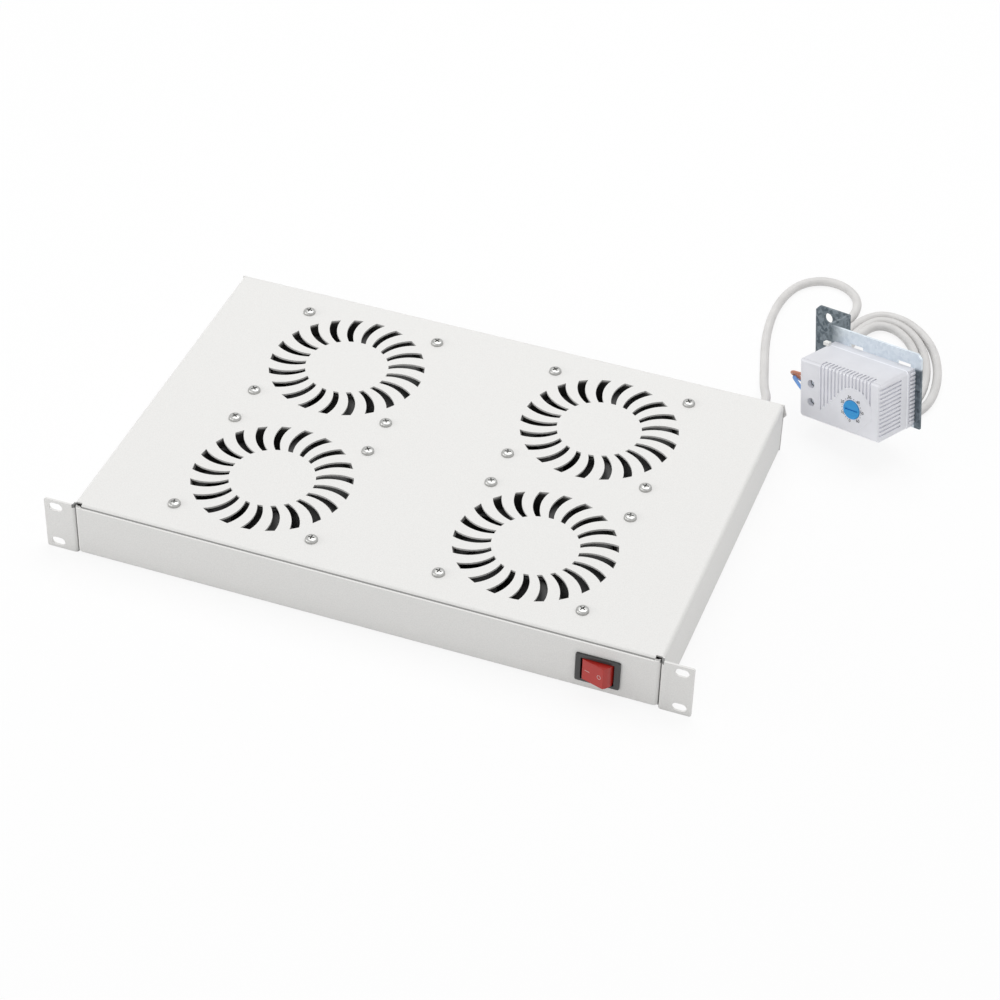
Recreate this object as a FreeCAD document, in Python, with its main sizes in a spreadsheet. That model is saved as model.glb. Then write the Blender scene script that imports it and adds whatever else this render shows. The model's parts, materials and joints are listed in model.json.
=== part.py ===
import FreeCAD, Part
import math
import os
import Sketcher

V = FreeCAD.Vector
UP = V(0, 0, 1)

# One row for each driving dimension: its name, its value in millimetres or degrees, and what it is.
SIZES = (
    ("sheet", 1.5, "thickness of the powder-coated steel sheet"),
    ("bend", 3.0, "outer radius of the folds in the sheet"),
    ("ear_width", 22.3, "how far each rack ear stands out of its side wall"),
    ("panel_height", 43.7, "height of the ears, one rack unit less its gap"),
    ("body_width", 438.0, "over the side walls"),
    ("body_depth", 298.5, "from the back of the ears to the rear face"),
    ("body_height", 44.0, "from the surface it stands on to the top plate"),
    ("floor_flange", 10.0, "width of the return along the bottom of each side wall"),
    ("front_flange", 12.0, "drop of the lip behind the front panel"),
    ("corner_relief", 4.6, "width of the notch where front lip and side wall part"),
    ("ear_corner", 1.6, "radius of the outer corners of the ears"),
    ("slot_inset", 8.75, "from an ear's end to the middle of its rack slots"),
    ("slot_rows", 31.75, "between the rack slots up the rack"),
    ("rack_slot_length", 10.5, "rack slot, end to end"),
    ("rack_slot_width", 6.8, "rack slot, across"),
    ("rear_band", 13.2, "height of the wider band at the top of the rear wall"),
    ("rear_tab", 2.2, "how far that band stands out past the side walls"),
    ("panel_gap", 0.3, "between the front panel's ends and the side walls"),
    ("panel_rise", 1.6, "how much the front panel's ends stand above its middle"),
    ("panel_flange", 11.0, "width of the front panel's folded edges"),
    ("panel_room", 1.5, "between the front panel's folds and the tray's own"),
    ("fan_size", 120.0, "square size of a fan"),
    ("fan_depth", 38.0, "depth of a fan"),
    ("fan_corner", 6.0, "radius of the corners of a fan's frame"),
    ("fan_flange", 4.8, "thickness of the flanges of a fan's frame"),
    ("fan_bore", 114.4, "bore of a fan's frame"),
    ("fan_barrel", 119.0, "outside of the barrel between the flanges"),
    ("fan_shift", 19.0, "how much further each fan stands from the side wall than from the tray's middle"),
    ("fan_rows", 140.0, "between the fans along the tray"),
    ("first_fan", 78.5, "from the back of the ears to the first fans' axes"),
    ("fan_holes", 105.0, "between the mounting holes of a fan"),
    ("screw_thread", 4.0, "diameter of the fan screws"),
    ("screw_head", 9.3, "diameter of the pan heads"),
    ("screw_head_height", 2.7, "height of the pan heads"),
    ("screw_length", 10.0, "length of the fan screws under the head"),
    ("screw_clearance", 0.25, "room round a screw in a plain hole"),
    ("grille_inner", 31.3, "radius where the grille's slots start"),
    ("grille_outer", 58.5, "radius where the grille's slots end"),
    ("grille_arc", 29.6, "radius of both long edges of a grille slot"),
    ("grille_reach", 50.3, "distance of those arcs' centres from the fan's axis"),
    ("grille_count", 21, "slots in each grille"),
    ("grille_lead", 9.6, "angle of the outer-edge arc's centre behind the slot's base line"),
    ("grille_turn", 7.0, "angle between the two arcs' centres"),
    ("hub_radius", 31.0, "radius of the impeller's hub"),
    ("hub_top", 2.0, "from the top flange down to the hub's face"),
    ("hub_length", 26.0, "length of the impeller's hub"),
    ("hub_wall", 2.2, "wall of the impeller's hub"),
    ("stator_gap", 1.2, "between the stator and the inside of the hub's face"),
    ("blade_tip_gap", 1.4, "between the blade tips and the bore"),
    ("blade_count", 7, "blades on an impeller"),
    ("blade_thickness", 1.6, "thickness of a blade"),
    ("blade_pitch", 30.0, "angle of a blade to the disc plane"),
    ("blade_chord", 41.0, "length of a blade's section"),
    ("blade_bend", 0.085, "rise of a blade's bent section over its length"),
    ("blade_sweep", 12.0, "how far round a blade's tip runs ahead of its root"),
    ("shaft", 4.0, "diameter of a fan's shaft"),
    ("running_gap", 0.03, "radial gap between a shaft and its bearings"),
    ("bearing_outside", 10.0, "outside diameter of a bearing"),
    ("seat_gap", 0.05, "radial gap where a round piece is fixed in its seat"),
    ("bearing_length", 4.0, "length of a bearing"),
    ("motor_radius", 26.5, "radius of the stator inside the hub"),
    ("motor_base", 5.0, "thickness of the plate that carries the motor"),
    ("strut_width", 5.0, "width of a fan's struts"),
    ("strut_count", 4, "struts that carry the motor plate"),
    ("switch_room", 0.3, "between the right front fan's side and the switch body"),
    ("switch_height", 20.2, "from the bottom of the tray to the switch's middle"),
    ("bezel_width", 32.0, "switch bezel, across"),
    ("bezel_height", 24.4, "switch bezel, upright"),
    ("bezel_depth", 2.0, "how far the bezel stands in front of the panel"),
    ("bezel_corner", 1.4, "radius of the bezel's corners"),
    ("switch_body_width", 27.4, "switch body behind the panel, across"),
    ("switch_body_height", 21.6, "switch body behind the panel, upright"),
    ("switch_body_depth", 21.0, "switch body behind the bezel"),
    ("switch_fit", 0.15, "room round the switch body in the panel"),
    ("rocker_radius", 11.6, "radius of the rocker's rounded ends about its pivot"),
    ("rocker_flat", 7.9, "from the pivot to the rocker's flat face"),
    ("rocker_back", 5.0, "from the pivot to the rocker's back"),
    ("rocker_height", 18.2, "height of the rocker"),
    ("rocker_gap", 0.5, "room round the rocker in the bezel"),
    ("rocker_pivot", 4.6, "from the bezel's face back to the pivot"),
    ("rocker_tilt", 17.0, "tilt of the rocker to either side of its middle"),
    ("rocker_pin", 3.0, "diameter of the rocker's pivot pins"),
    ("blade_terminal", 6.3, "width of the switch's push-on terminals"),
    ("blade_terminal_length", 8.0, "length of the switch's push-on terminals"),
    ("inlet_width", 27.4, "mains inlet body, across"),
    ("inlet_height", 20.0, "mains inlet body, upright"),
    ("inlet_depth", 24.0, "mains inlet body behind its flange"),
    ("inlet_flange_width", 50.0, "mains inlet flange, across"),
    ("inlet_flange_height", 23.0, "mains inlet flange, upright"),
    ("inlet_flange_depth", 3.0, "thickness of the mains inlet's flange"),
    ("inlet_holes", 40.0, "between the screws of the mains inlet"),
    ("inlet_wall", 1.8, "wall round the socket of the mains inlet"),
    ("inlet_socket", 17.0, "depth of the socket of the mains inlet"),
    ("pin_length", 13.0, "length of the inlet's pins"),
    ("small_thread", 3.0, "diameter of the small screws"),
    ("hole_room", 0.2, "room round small screws, gland and earth stud in the sheet"),
    ("cord", 7.0, "diameter of the thermostat's cord"),
    ("gland_inset", 20.5, "from the side wall to the gland, and to the earth stud on the other side"),
    ("gland_height", 20.0, "from the bottom of the tray to the gland's axis"),
    ("gland_thread", 12.0, "diameter of the gland's thread"),
    ("gland_hex", 17.0, "across the flats of the gland's nuts"),
    ("gland_nose", 20.0, "how far the gland stands out of the rear wall"),
    ("block_room", 9.0, "from each rear fan to the terminal block"),
    ("block_width", 20.0, "width of the terminal block"),
    ("block_height", 17.0, "height of the terminal block"),
    ("block_ways", 6, "ways of the terminal block"),
    ("block_well", 3.8, "square wells over the terminal block's screws"),
    ("earth_thread", 5.0, "diameter of the earth stud"),
    ("case_width", 77.0, "thermostat, across"),
    ("case_height", 47.8, "thermostat, upright"),
    ("cover_depth", 33.0, "depth of the thermostat's cover"),
    ("base_depth", 8.0, "depth of the thermostat's base"),
    ("case_wall", 2.0, "wall of the thermostat's cover"),
    ("case_corner", 3.0, "radius of the cover's four long edges"),
    ("case_bevel", 1.8, "bevel round the cover's face"),
    ("case_beside", 6.0, "thermostat's lower left front corner, outside the line of the side wall"),
    ("case_behind", 26.4, "thermostat's lower left front corner, behind the rear face"),
    ("case_up", 15.0, "thermostat's lower left front corner, above the surface"),
    ("case_yaw", -24.6, "turn of the thermostat about the upright axis"),
    ("case_tilt", 11.8, "how far the thermostat's right end is raised"),
    ("case_lean", 6.75, "how far the thermostat's face looks upward"),
    ("front_grooves", 15, "cooling grooves in the cover's face"),
    ("first_front_groove", 21.0, "from the cover's left end to the first groove"),
    ("front_groove_pitch", 3.33, "between the face's grooves"),
    ("groove_width", 1.6, "width of a cooling groove"),
    ("groove_depth", 1.2, "depth of a cooling groove"),
    ("top_groove_run", 7.5, "how far the face's grooves run back over the top"),
    ("side_grooves", 12, "cooling grooves in the cover's right end"),
    ("first_side_groove", 6.2, "from the cover's bottom to the first end groove"),
    ("side_groove_pitch", 3.35, "between the end's grooves"),
    ("side_groove_run", 25.0, "how far the end's grooves run back"),
    ("dial_inset", 26.4, "from the cover's right end to the dial"),
    ("dial_up", 20.2, "from the cover's bottom to the dial"),
    ("dial", 14.8, "diameter of the dial"),
    ("dial_depth", 3.0, "depth of the dial in its seat"),
    ("dial_proud", 0.8, "how far the dial stands out of the cover"),
    ("dial_gap", 0.3, "room round the dial"),
    ("dial_spindle", 4.0, "diameter of the dial's spindle"),
    ("arch", 17.2, "radius of the arch over the dial where grooves end"),
    ("arch_shift", 1.8, "how far the arch's middle lies right of the dial"),
    ("arch_slope", 1.12, "rise over run of the line left of the arch where grooves end"),
    ("terminal_across", 11.4, "from the cover's left end to the terminal holes"),
    ("upper_terminal", 29.3, "from the cover's bottom to the upper terminal hole"),
    ("lower_terminal", 14.4, "from the cover's bottom to the lower terminal hole"),
    ("terminal_hole", 6.6, "diameter of the terminal holes"),
    ("plate_left", 7.0, "how far the bracket stands out left of the thermostat"),
    ("plate_right", 5.3, "how far the bracket stands out right of the thermostat"),
    ("plate_above", 11.5, "how far the bracket stands above the thermostat"),
    ("plate_below", 1.2, "how far the bracket reaches below the thermostat"),
    ("plate_chamfer", 3.6, "corner chamfer of the bracket"),
    ("bracket_step", 23.0, "step between the bracket's two faces"),
    ("bracket_tab", 30.6, "width of the bracket's fixing tab"),
    ("bracket_tab_height", 44.0, "height of the bracket's fixing tab"),
    ("bracket_hole", 8.0, "diameter of the hole in the fixing tab"),
    ("bracket_sheet", 2.0, "thickness of the bracket"),
    ("bracket_hole_inset", 18.2, "from the bracket's web to the hole in the tab"),
    ("bracket_hole_drop", 8.0, "from the tab's upper edge to its hole"),
    ("plate_slot", 12.6, "length of the slots in the bracket behind the thermostat's upper edge"),
    ("plate_slot_inset", 10.6, "from the thermostat's right end to its slot; the left is at twice that"),
    ("coil_across", 89.0, "coil of the spare cord, across the middle of its turns"),
    ("coil_along", 136.0, "coil of the spare cord, along the middle of its turns"),
    ("coil_width", 16.0, "width of the coil's bundle of turns"),
    ("coil_low", 7.2, "height of the coil where one layer lies on the surface"),
    ("coil_high", 24.0, "height that the coil's turns would reach with nothing on them"),
    ("coil_gap", 0.3, "between the coil and the bracket that rests on it"),
    ("core", 2.6, "diameter of an insulated conductor"),
    ("core_back", 9.5, "from the thermostat's face back to its conductors' entries"),
)

# The free cord's route from the gland, chosen by hand. Each point is measured outward from the right side
# wall, back from the rear face, and up from the surface. So are the coil's middle and the cord's end.
LEAD_ROUTE = (
    (-20.5, 10.0, 20.0),
    (-20.5, 30.0, 20.0),
    (-26.5, 48.0, 11.5),
    (-32.7, 68.0, 4.6),
    (-38.7, 91.0, 3.6),
    (-45.0, 114.0, 3.6),
    (-49.4, 137.5, 3.6),
    (-51.4, 162.5, 3.6),
    (-49.0, 187.0, 3.6),
    (-41.0, 206.5, 3.6),
    (-26.0, 217.5, 3.6),
    (-8.0, 216.5, 3.6),
    (6.0, 204.5, 3.6),
    (10.5, 187.5, 3.6),
    (7.0, 170.5, 3.6),
)
# The middle of the coil that the spare length is laid in.
COIL_MIDDLE = (44.5, 114.5)
# The cord's end, from the coil to where its jacket stops beside the thermostat.
TAIL_ROUTE = (
    (1.0, 99.5, 7.5),
    (1.5, 85.5, 10.2),
    (6.2, 73.0, 10.6),
    (11.6, 64.1, 9.8),
    (15.3, 57.1, 9.3),
)
# Conductors from the jacket to the thermostat's end, in the thermostat's own frame: across, back and up.
BROWN_ROUTE = (
    (-4.5, 32.1, 0.3),
    (-7.0, 30.5, 6.2),
    (-11.5, 26.6, 13.0),
    (-16.0, 20.8, 19.0),
    (-18.2, 15.0, 24.0),
    (-15.0, 11.2, 27.6),
    (-8.0, 9.5, 28.9),
    (1.0, 9.5, 29.3),
)
BLUE_ROUTE = (
    (-7.4, 32.2, 0.3),
    (-9.3, 30.8, 4.0),
    (-12.8, 27.6, 8.6),
    (-17.0, 22.5, 13.0),
    (-18.8, 16.5, 16.6),
    (-15.0, 12.0, 16.9),
    (-8.0, 9.5, 15.2),
    (1.0, 9.5, 14.4),
)


class Size(float):
    """A length or an angle that carries the sheet formula it comes from."""

    def __new__(cls, value, formula):
        size = super().__new__(cls, value)
        size.formula = formula
        return size

    def __add__(self, other):
        return combine(self, "+", other, float(self) + float(other))

    def __radd__(self, other):
        return combine(other, "+", self, float(other) + float(self))

    def __sub__(self, other):
        return combine(self, "-", other, float(self) - float(other))

    def __rsub__(self, other):
        return combine(other, "-", self, float(other) - float(self))

    def __mul__(self, other):
        return combine(self, "*", other, float(self) * float(other))

    def __rmul__(self, other):
        return combine(other, "*", self, float(other) * float(self))

    def __truediv__(self, other):
        return combine(self, "/", other, float(self) / float(other))

    def __neg__(self):
        return combine(0.0, "-", self, -float(self))


def formula_of(size):
    return size.formula if isinstance(size, Size) else "%.6f" % size


def combine(left, sign, right, value):
    return Size(value, "(%s %s %s)" % (formula_of(left), sign, formula_of(right)))


def fill_sheet(document):
    """The spreadsheet with every driving dimension, and the same sizes by name."""
    sheet = document.addObject("Spreadsheet::Sheet", "Sizes")
    sizes = {}
    for row, (name, value, meaning) in enumerate(SIZES, start=1):
        sheet.set("A%d" % row, meaning)
        sheet.set("B%d" % row, str(value))
        sheet.setAlias("B%d" % row, name)
        sizes[name] = Size(value, "Sizes." + name)
    document.recompute()
    return sizes


document = FreeCAD.newDocument("FanTray")
size = fill_sheet(document)

# Places worked out from the driving dimensions. The origin is the middle of the four rack slots.
ground = -size["panel_height"] / 2
top = ground + size["body_height"]
under_top = top - size["sheet"]
wall_outside = size["body_width"] / 2
wall_inside = wall_outside - size["sheet"]
rear = size["body_depth"]
rear_inside = rear - size["sheet"]
ear_front = -size["sheet"]
ear_end = wall_outside + size["ear_width"]
fan_across = (wall_outside - size["fan_shift"]) / 2
switch_across = fan_across + size["fan_size"] / 2 + size["switch_room"] + size["switch_body_width"] / 2
gland_across = wall_outside - size["gland_inset"]
wall_openings_level = ground + size["gland_height"]
dial_across = size["case_width"] - size["dial_inset"]
stator_top = -size["hub_top"] - size["hub_wall"] - size["stator_gap"]
motor_seat = -size["fan_depth"] + size["motor_base"]
fan_places = [
    (column * fan_across, size["first_fan"] + row * size["fan_rows"])
    for row in (0, 1)
    for column in (-1, 1)
]
parts = []


def bind(item, name, value):
    """Set a property, and tie it to the sheet where its size comes from there."""
    if isinstance(value, Size):
        item.setExpression(name, value.formula)
    else:
        setattr(item, name, value)


def keep(item, node):
    """Name a finished sub-part for its file."""
    item.Label = node
    parts.append(item)
    return item


def new_body(node):
    body = document.addObject("PartDesign::Body", node)
    return keep(body, node)


def new_sketch(body, role, name, lift=0.0):
    """A sketch on one of the body's own origin planes, lifted along the plane's normal."""
    sketch = body.newObject("Sketcher::SketchObject", name)
    plane = [item for item in body.Origin.OriginFeatures if item.Role == role][0]
    sketch.AttachmentSupport = [(plane, "")]
    sketch.MapMode = "FlatFace"
    bind(sketch, "AttachmentOffset.Base.z", lift if isinstance(lift, Size) else Size(lift, str(lift)))
    return sketch


def fix_point(sketch, edge, end, across, up):
    """Hold one end or the centre of an edge at its two distances from the sketch's origin."""
    for kind, value in (("DistanceX", across), ("DistanceY", up)):
        index = sketch.addConstraint(Sketcher.Constraint(kind, -1, 1, edge, end, float(value)))
        if isinstance(value, Size):
            sketch.setExpression("Constraints[%d]" % index, value.formula)


def draw_outline(sketch, points):
    """A closed outline of straight lines through the given points."""
    first = sketch.GeometryCount
    count = len(points)
    for index, (across, up) in enumerate(points):
        following = points[(index + 1) % count]
        sketch.addGeometry(Part.LineSegment(V(across, up, 0), V(following[0], following[1], 0)))
    for index in range(count):
        joint = (first + index, 2, first + (index + 1) % count, 1)
        sketch.addConstraint(Sketcher.Constraint("Coincident", *joint))
    for index, (across, up) in enumerate(points):
        fix_point(sketch, first + index, 1, across, up)


def draw_rectangle(sketch, left, bottom, right, upper):
    draw_outline(sketch, ((left, bottom), (right, bottom), (right, upper), (left, upper)))


def draw_circle(sketch, across, up, radius):
    edge = sketch.addGeometry(Part.Circle(V(across, up, 0), UP, float(radius)))
    index = sketch.addConstraint(Sketcher.Constraint("Radius", edge, float(radius)))
    if isinstance(radius, Size):
        sketch.setExpression("Constraints[%d]" % index, radius.formula)
    fix_point(sketch, edge, 3, across, up)


def draw_obround(sketch, across, up, length, width):
    """A slot with round ends that lies along the sketch's first axis."""
    half = (length - width) / 2
    radius = width / 2
    right = V(across + half, up, 0)
    left = V(across - half, up, 0)
    turn = math.pi / 2
    arc_right = sketch.addGeometry(Part.ArcOfCircle(Part.Circle(right, UP, float(radius)), -turn, turn))
    arc_left = sketch.addGeometry(Part.ArcOfCircle(Part.Circle(left, UP, float(radius)), turn, 3 * turn))
    upper = sketch.addGeometry(Part.LineSegment(right + V(0, radius, 0), left + V(0, radius, 0)))
    lower = sketch.addGeometry(Part.LineSegment(left - V(0, radius, 0), right - V(0, radius, 0)))
    for first, first_end, second, second_end in (
        (arc_right, 2, upper, 1),
        (upper, 2, arc_left, 1),
        (arc_left, 2, lower, 1),
        (lower, 2, arc_right, 1),
    ):
        sketch.addConstraint(Sketcher.Constraint("Tangent", first, first_end, second, second_end))
    index = sketch.addConstraint(Sketcher.Constraint("Radius", arc_right, float(radius)))
    sketch.setExpression("Constraints[%d]" % index, radius.formula)
    fix_point(sketch, arc_right, 3, across + half, up)
    fix_point(sketch, arc_left, 3, across - half, up)


def pad(body, sketch, length, backward=False, middle=False):
    feature = body.newObject("PartDesign::Pad", sketch.Name + "_pad")
    feature.Profile = sketch
    bind(feature, "Length", length)
    feature.Reversed = backward
    feature.Midplane = middle
    body.Tip = feature
    return feature


def pocket(body, sketch, depth, backward=False, middle=False):
    """Cut a sketch's outline out of the body, and make sure that it cut something."""
    document.recompute()
    before = body.Shape.Volume
    feature = body.newObject("PartDesign::Pocket", sketch.Name + "_cut")
    feature.Profile = sketch
    bind(feature, "Length", depth)
    feature.Reversed = backward
    feature.Midplane = middle
    body.Tip = feature
    document.recompute()
    if body.Shape.Volume > before - 1e-6:
        raise RuntimeError("%s cuts nothing" % feature.Name)
    return feature


def round_edges(body, radius, test, kind="PartDesign::Fillet"):
    """Round or chamfer those of the body's edges that pass the test."""
    document.recompute()
    base = body.Tip
    names = ["Edge%d" % (index + 1) for index, edge in enumerate(base.Shape.Edges) if test(edge)]
    if not names:
        raise RuntimeError("no edge to round on %s" % body.Name)
    feature = body.newObject(kind, base.Name + "_edges")
    feature.Base = (base, names)
    bind(feature, "Size" if kind.endswith("Chamfer") else "Radius", radius)
    body.Tip = feature
    document.recompute()
    return feature


def repeat(body, feature, axis, count, length):
    """Copies of a feature along one of its sketch's axes."""
    pattern = body.newObject("PartDesign::LinearPattern", feature.Name + "_row")
    pattern.Originals = [feature]
    pattern.Direction = (feature.Profile[0], [axis])
    bind(pattern, "Length", length)
    bind(pattern, "Occurrences", count)
    body.Tip = pattern
    return pattern


def along(edge, direction):
    """Whether an edge is a straight line along a direction."""
    if not isinstance(edge.Curve, Part.Line):
        return False
    return abs(abs(edge.Curve.Direction.dot(direction)) - 1) < 1e-6


def at(value, target):
    return abs(value - target) < 1e-3


def place(item, across, along_tray, up):
    bind(item, "Placement.Base.x", across)
    bind(item, "Placement.Base.y", along_tray)
    bind(item, "Placement.Base.z", up)


def shape_part(node, shape):
    """A sub-part whose shape is worked out here from the sheet's sizes."""
    item = document.addObject("Part::Feature", node)
    item.Shape = shape
    return keep(item, node)


def rounded_path(points, closed=False):
    """Straight runs joined by tangent arcs, each as large as its two runs allow."""
    count = len(points)
    corners = range(count) if closed else range(1, count - 1)
    starts = {}
    ends = {}
    arcs = []
    radii = []
    for index in corners:
        here = points[index]
        back = points[index - 1] - here
        ahead = points[(index + 1) % count] - here
        turn = math.pi - back.getAngle(ahead)
        reach = 0.45 * min(back.Length, ahead.Length)
        radii.append(reach / math.tan(turn / 2))
        back.normalize()
        ahead.normalize()
        start = here + back * reach
        end = here + ahead * reach
        inward = (back + ahead).normalize()
        depth = radii[-1] / math.cos(turn / 2) - radii[-1]
        arcs.append(Part.Arc(start, here + inward * depth, end).toShape())
        starts[index] = start
        ends[index] = end
    edges = []
    for index in range(count if closed else count - 1):
        following = (index + 1) % count
        line = (ends.get(index, points[index]), starts.get(following, points[following]))
        edges.append(Part.makeLine(*line))
    return Part.Wire(Part.__sortEdges__(edges + arcs)), radii


def tube(node, points, diameter, sides):
    """A many-sided tube along rounded runs, compared with its section times its length."""
    path, radii = rounded_path(points)
    face = many_sided(float(diameter) / 2, sides, 0.0, math.pi / sides)
    face.Placement = FreeCAD.Placement(points[0], FreeCAD.Rotation(UP, points[1] - points[0]))
    solid = path.makePipeShell([face.OuterWire], True, False, 2)
    expected = face.Area * path.Length
    if abs(solid.Volume / expected - 1) > 0.01:
        raise RuntimeError("%s has the wrong volume" % node)
    print("%s: %.0f mm long, radii %s" % (node, path.Length, [round(radius) for radius in radii]))
    return solid


def add_tray_shell():
    """The folded sheet: top with its grilles, side walls with their ears, front lip and rear wall."""
    body = new_body("tray_shell")
    bend = size["bend"]
    inner_bend = size["bend"] - size["sheet"]
    flange = wall_outside - size["floor_flange"]
    lower = ground + size["sheet"]
    profile = new_sketch(body, "XZ_Plane", "channel_profile", -bend)
    draw_outline(profile, (
        (-flange, ground), (-wall_outside, ground), (-wall_outside, top), (wall_outside, top),
        (wall_outside, ground), (flange, ground), (flange, lower), (wall_inside, lower),
        (wall_inside, under_top), (-wall_inside, under_top), (-wall_inside, lower), (-flange, lower),
    ))
    pad(body, profile, rear - 2 * bend, backward=True)
    round_edges(body, bend, lambda edge: along(edge, V(0, 1, 0)) and (
        at(abs(edge.Vertexes[0].X), wall_outside)))
    round_edges(body, inner_bend, lambda edge: along(edge, V(0, 1, 0)) and (
        at(abs(edge.Vertexes[0].X), wall_inside) and min(
            abs(edge.Vertexes[0].Z - lower), abs(edge.Vertexes[0].Z - under_top)) < 1e-3))

    # Side walls carried on to the front, where they fold out into the ears.
    walls = new_sketch(body, "XY_Plane", "ear_profile", ground)
    for side in (-1, 1):
        draw_outline(walls, (
            (side * wall_inside, bend), (side * wall_inside, ear_front), (side * ear_end, ear_front),
            (side * ear_end, 0.0), (side * wall_outside, 0.0), (side * wall_outside, bend),
        ))
    pad(body, walls, size["panel_height"])
    round_edges(body, size["bend"] - 0.5, lambda edge: along(edge, UP) and (
        at(abs(edge.Vertexes[0].X), wall_inside) and at(edge.Vertexes[0].Y, ear_front)))
    round_edges(body, size["ear_corner"], lambda edge: along(edge, V(0, 1, 0)) and (
        at(abs(edge.Vertexes[0].X), ear_end)))

    # Front lip, folded down from the top between the two reliefs.
    lip_end = wall_inside - size["corner_relief"]
    lip = new_sketch(body, "YZ_Plane", "front_lip")
    draw_outline(lip, (
        (bend, top), (0.0, top), (0.0, top - size["front_flange"]),
        (size["sheet"], top - size["front_flange"]), (size["sheet"], under_top), (bend, under_top),
    ))
    pad(body, lip, 2 * lip_end, middle=True)
    round_edges(body, bend, lambda edge: along(edge, V(1, 0, 0)) and (
        at(edge.Vertexes[0].Y, 0.0) and at(edge.Vertexes[0].Z, top)))

    # Rear wall, folded down from the top, with a wider band at its upper edge.
    back = new_sketch(body, "YZ_Plane", "rear_wall")
    draw_outline(back, (
        (rear - bend, top), (rear, top), (rear, ground), (rear_inside, ground),
        (rear_inside, under_top), (rear - bend, under_top),
    ))
    pad(body, back, size["body_width"], middle=True)
    round_edges(body, bend, lambda edge: along(edge, V(1, 0, 0)) and (
        at(edge.Vertexes[0].Y, rear) and at(edge.Vertexes[0].Z, top)))
    band = new_sketch(body, "XZ_Plane", "rear_band", -rear)
    band_low = top - size["rear_band"]
    for side in (-1, 1):
        draw_outline(band, (
            (side * (wall_outside - bend), top - bend), (side * wall_outside, top - bend),
            (side * (wall_outside + size["rear_tab"]), band_low + bend),
            (side * wall_outside, band_low), (side * (wall_outside - bend), band_low),
        ))
    pad(body, band, size["sheet"])

    # The returns along the bottom stop short of the front panel's own fold.
    stop = new_sketch(body, "XY_Plane", "return_stop", ground - 1.0)
    for side in (-1, 1):
        draw_rectangle(stop, side * (flange - 1.0), 0.0, side * wall_inside,
                       size["panel_flange"] + size["panel_room"])
    pocket(body, stop, bend + 1.0, backward=True)

    cut_grilles(body)
    cut_shell_holes(body)


def grille_slot_corner(radius, centre_angle):
    """Where a slot's long edge meets a circle about the fan's axis: the crossing ahead of its centre."""
    reach = float(size["grille_reach"])
    edge_radius = float(size["grille_arc"])
    cosine = (radius ** 2 + reach ** 2 - edge_radius ** 2) / (2 * radius * reach)
    angle = math.radians(centre_angle) + math.acos(cosine)
    return V(radius * math.cos(angle), radius * math.sin(angle), 0)


def grille_slot_edges(across, along_tray):
    """The two arcs and two short ends of one curved grille slot about a fan's axis."""
    middle = V(across, along_tray, 0)
    inner = float(size["grille_inner"])
    outer = float(size["grille_outer"])
    between = (inner + outer) / 2
    ahead = -float(size["grille_lead"])
    behind = ahead - float(size["grille_turn"])
    radii = (inner, between, outer)
    corners = [middle + grille_slot_corner(radius, ahead) for radius in radii]
    corners += [middle + grille_slot_corner(radius, behind) for radius in reversed(radii)]
    start, first_middle, first_end, second_start, second_middle, end = corners
    return [
        Part.Arc(start, first_middle, first_end),
        Part.LineSegment(first_end, second_start),
        Part.Arc(second_start, second_middle, end),
        Part.LineSegment(end, start),
    ]


def cut_grilles(body):
    """The ring of curved slots over each fan, and the fan's four screw holes."""
    for number, (across, along_tray) in enumerate(fan_places, start=1):
        slot = new_sketch(body, "XY_Plane", "grille_%d" % number, top + 1.0)
        bind(slot, "AttachmentOffset.Base.x", across)
        bind(slot, "AttachmentOffset.Base.y", along_tray)
        for edge in grille_slot_edges(0.0, 0.0):
            index = slot.addGeometry(edge)
            slot.addConstraint(Sketcher.Constraint("Block", index))
        cut = pocket(body, slot, size["sheet"] + 2.0)
        ring = body.newObject("PartDesign::PolarPattern", "grille_%d_ring" % number)
        ring.Originals = [cut]
        ring.Axis = (slot, ["N_Axis"])
        ring.Angle = 360
        bind(ring, "Occurrences", size["grille_count"])
        body.Tip = ring
        document.recompute()
    holes = new_sketch(body, "XY_Plane", "fan_screw_holes", top + 1.0)
    for across, along_tray in fan_hole_places():
        draw_circle(holes, across, along_tray, size["screw_thread"] / 2 + size["screw_clearance"])
    pocket(body, holes, size["sheet"] + 2.0)


def fan_hole_places():
    """The sixteen fan screws, four to a fan."""
    half = size["fan_holes"] / 2
    return [
        (across + side * half, along_tray + end * half)
        for across, along_tray in fan_places
        for side in (-1, 1)
        for end in (-1, 1)
    ]


def cut_shell_holes(body):
    """Rack slots in the ears, and the openings for inlet, gland and earth stud in the rear wall."""
    slots = new_sketch(body, "XZ_Plane", "rack_slots", size["sheet"] + 1.0)
    for side in (-1, 1):
        for end in (-1, 1):
            draw_obround(slots, side * (ear_end - size["slot_inset"]), end * size["slot_rows"] / 2,
                         size["rack_slot_length"], size["rack_slot_width"])
    pocket(body, slots, size["sheet"] + 2.0)
    openings = new_sketch(body, "XZ_Plane", "rear_openings", -rear_inside + 1.0)
    half_width = size["inlet_width"] / 2 + size["switch_fit"]
    half_height = size["inlet_height"] / 2 + size["switch_fit"]
    middle = wall_openings_level
    draw_rectangle(openings, -half_width, middle - half_height, half_width, middle + half_height)
    small_hole = size["small_thread"] / 2 + size["hole_room"]
    for side in (-1, 1):
        draw_circle(openings, side * size["inlet_holes"] / 2, middle, small_hole)
    draw_circle(openings, gland_across, middle, size["gland_thread"] / 2 + size["hole_room"])
    draw_circle(openings, -gland_across, middle, size["earth_thread"] / 2 + size["hole_room"])
    pocket(body, openings, size["sheet"] + 2.0)


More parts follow.
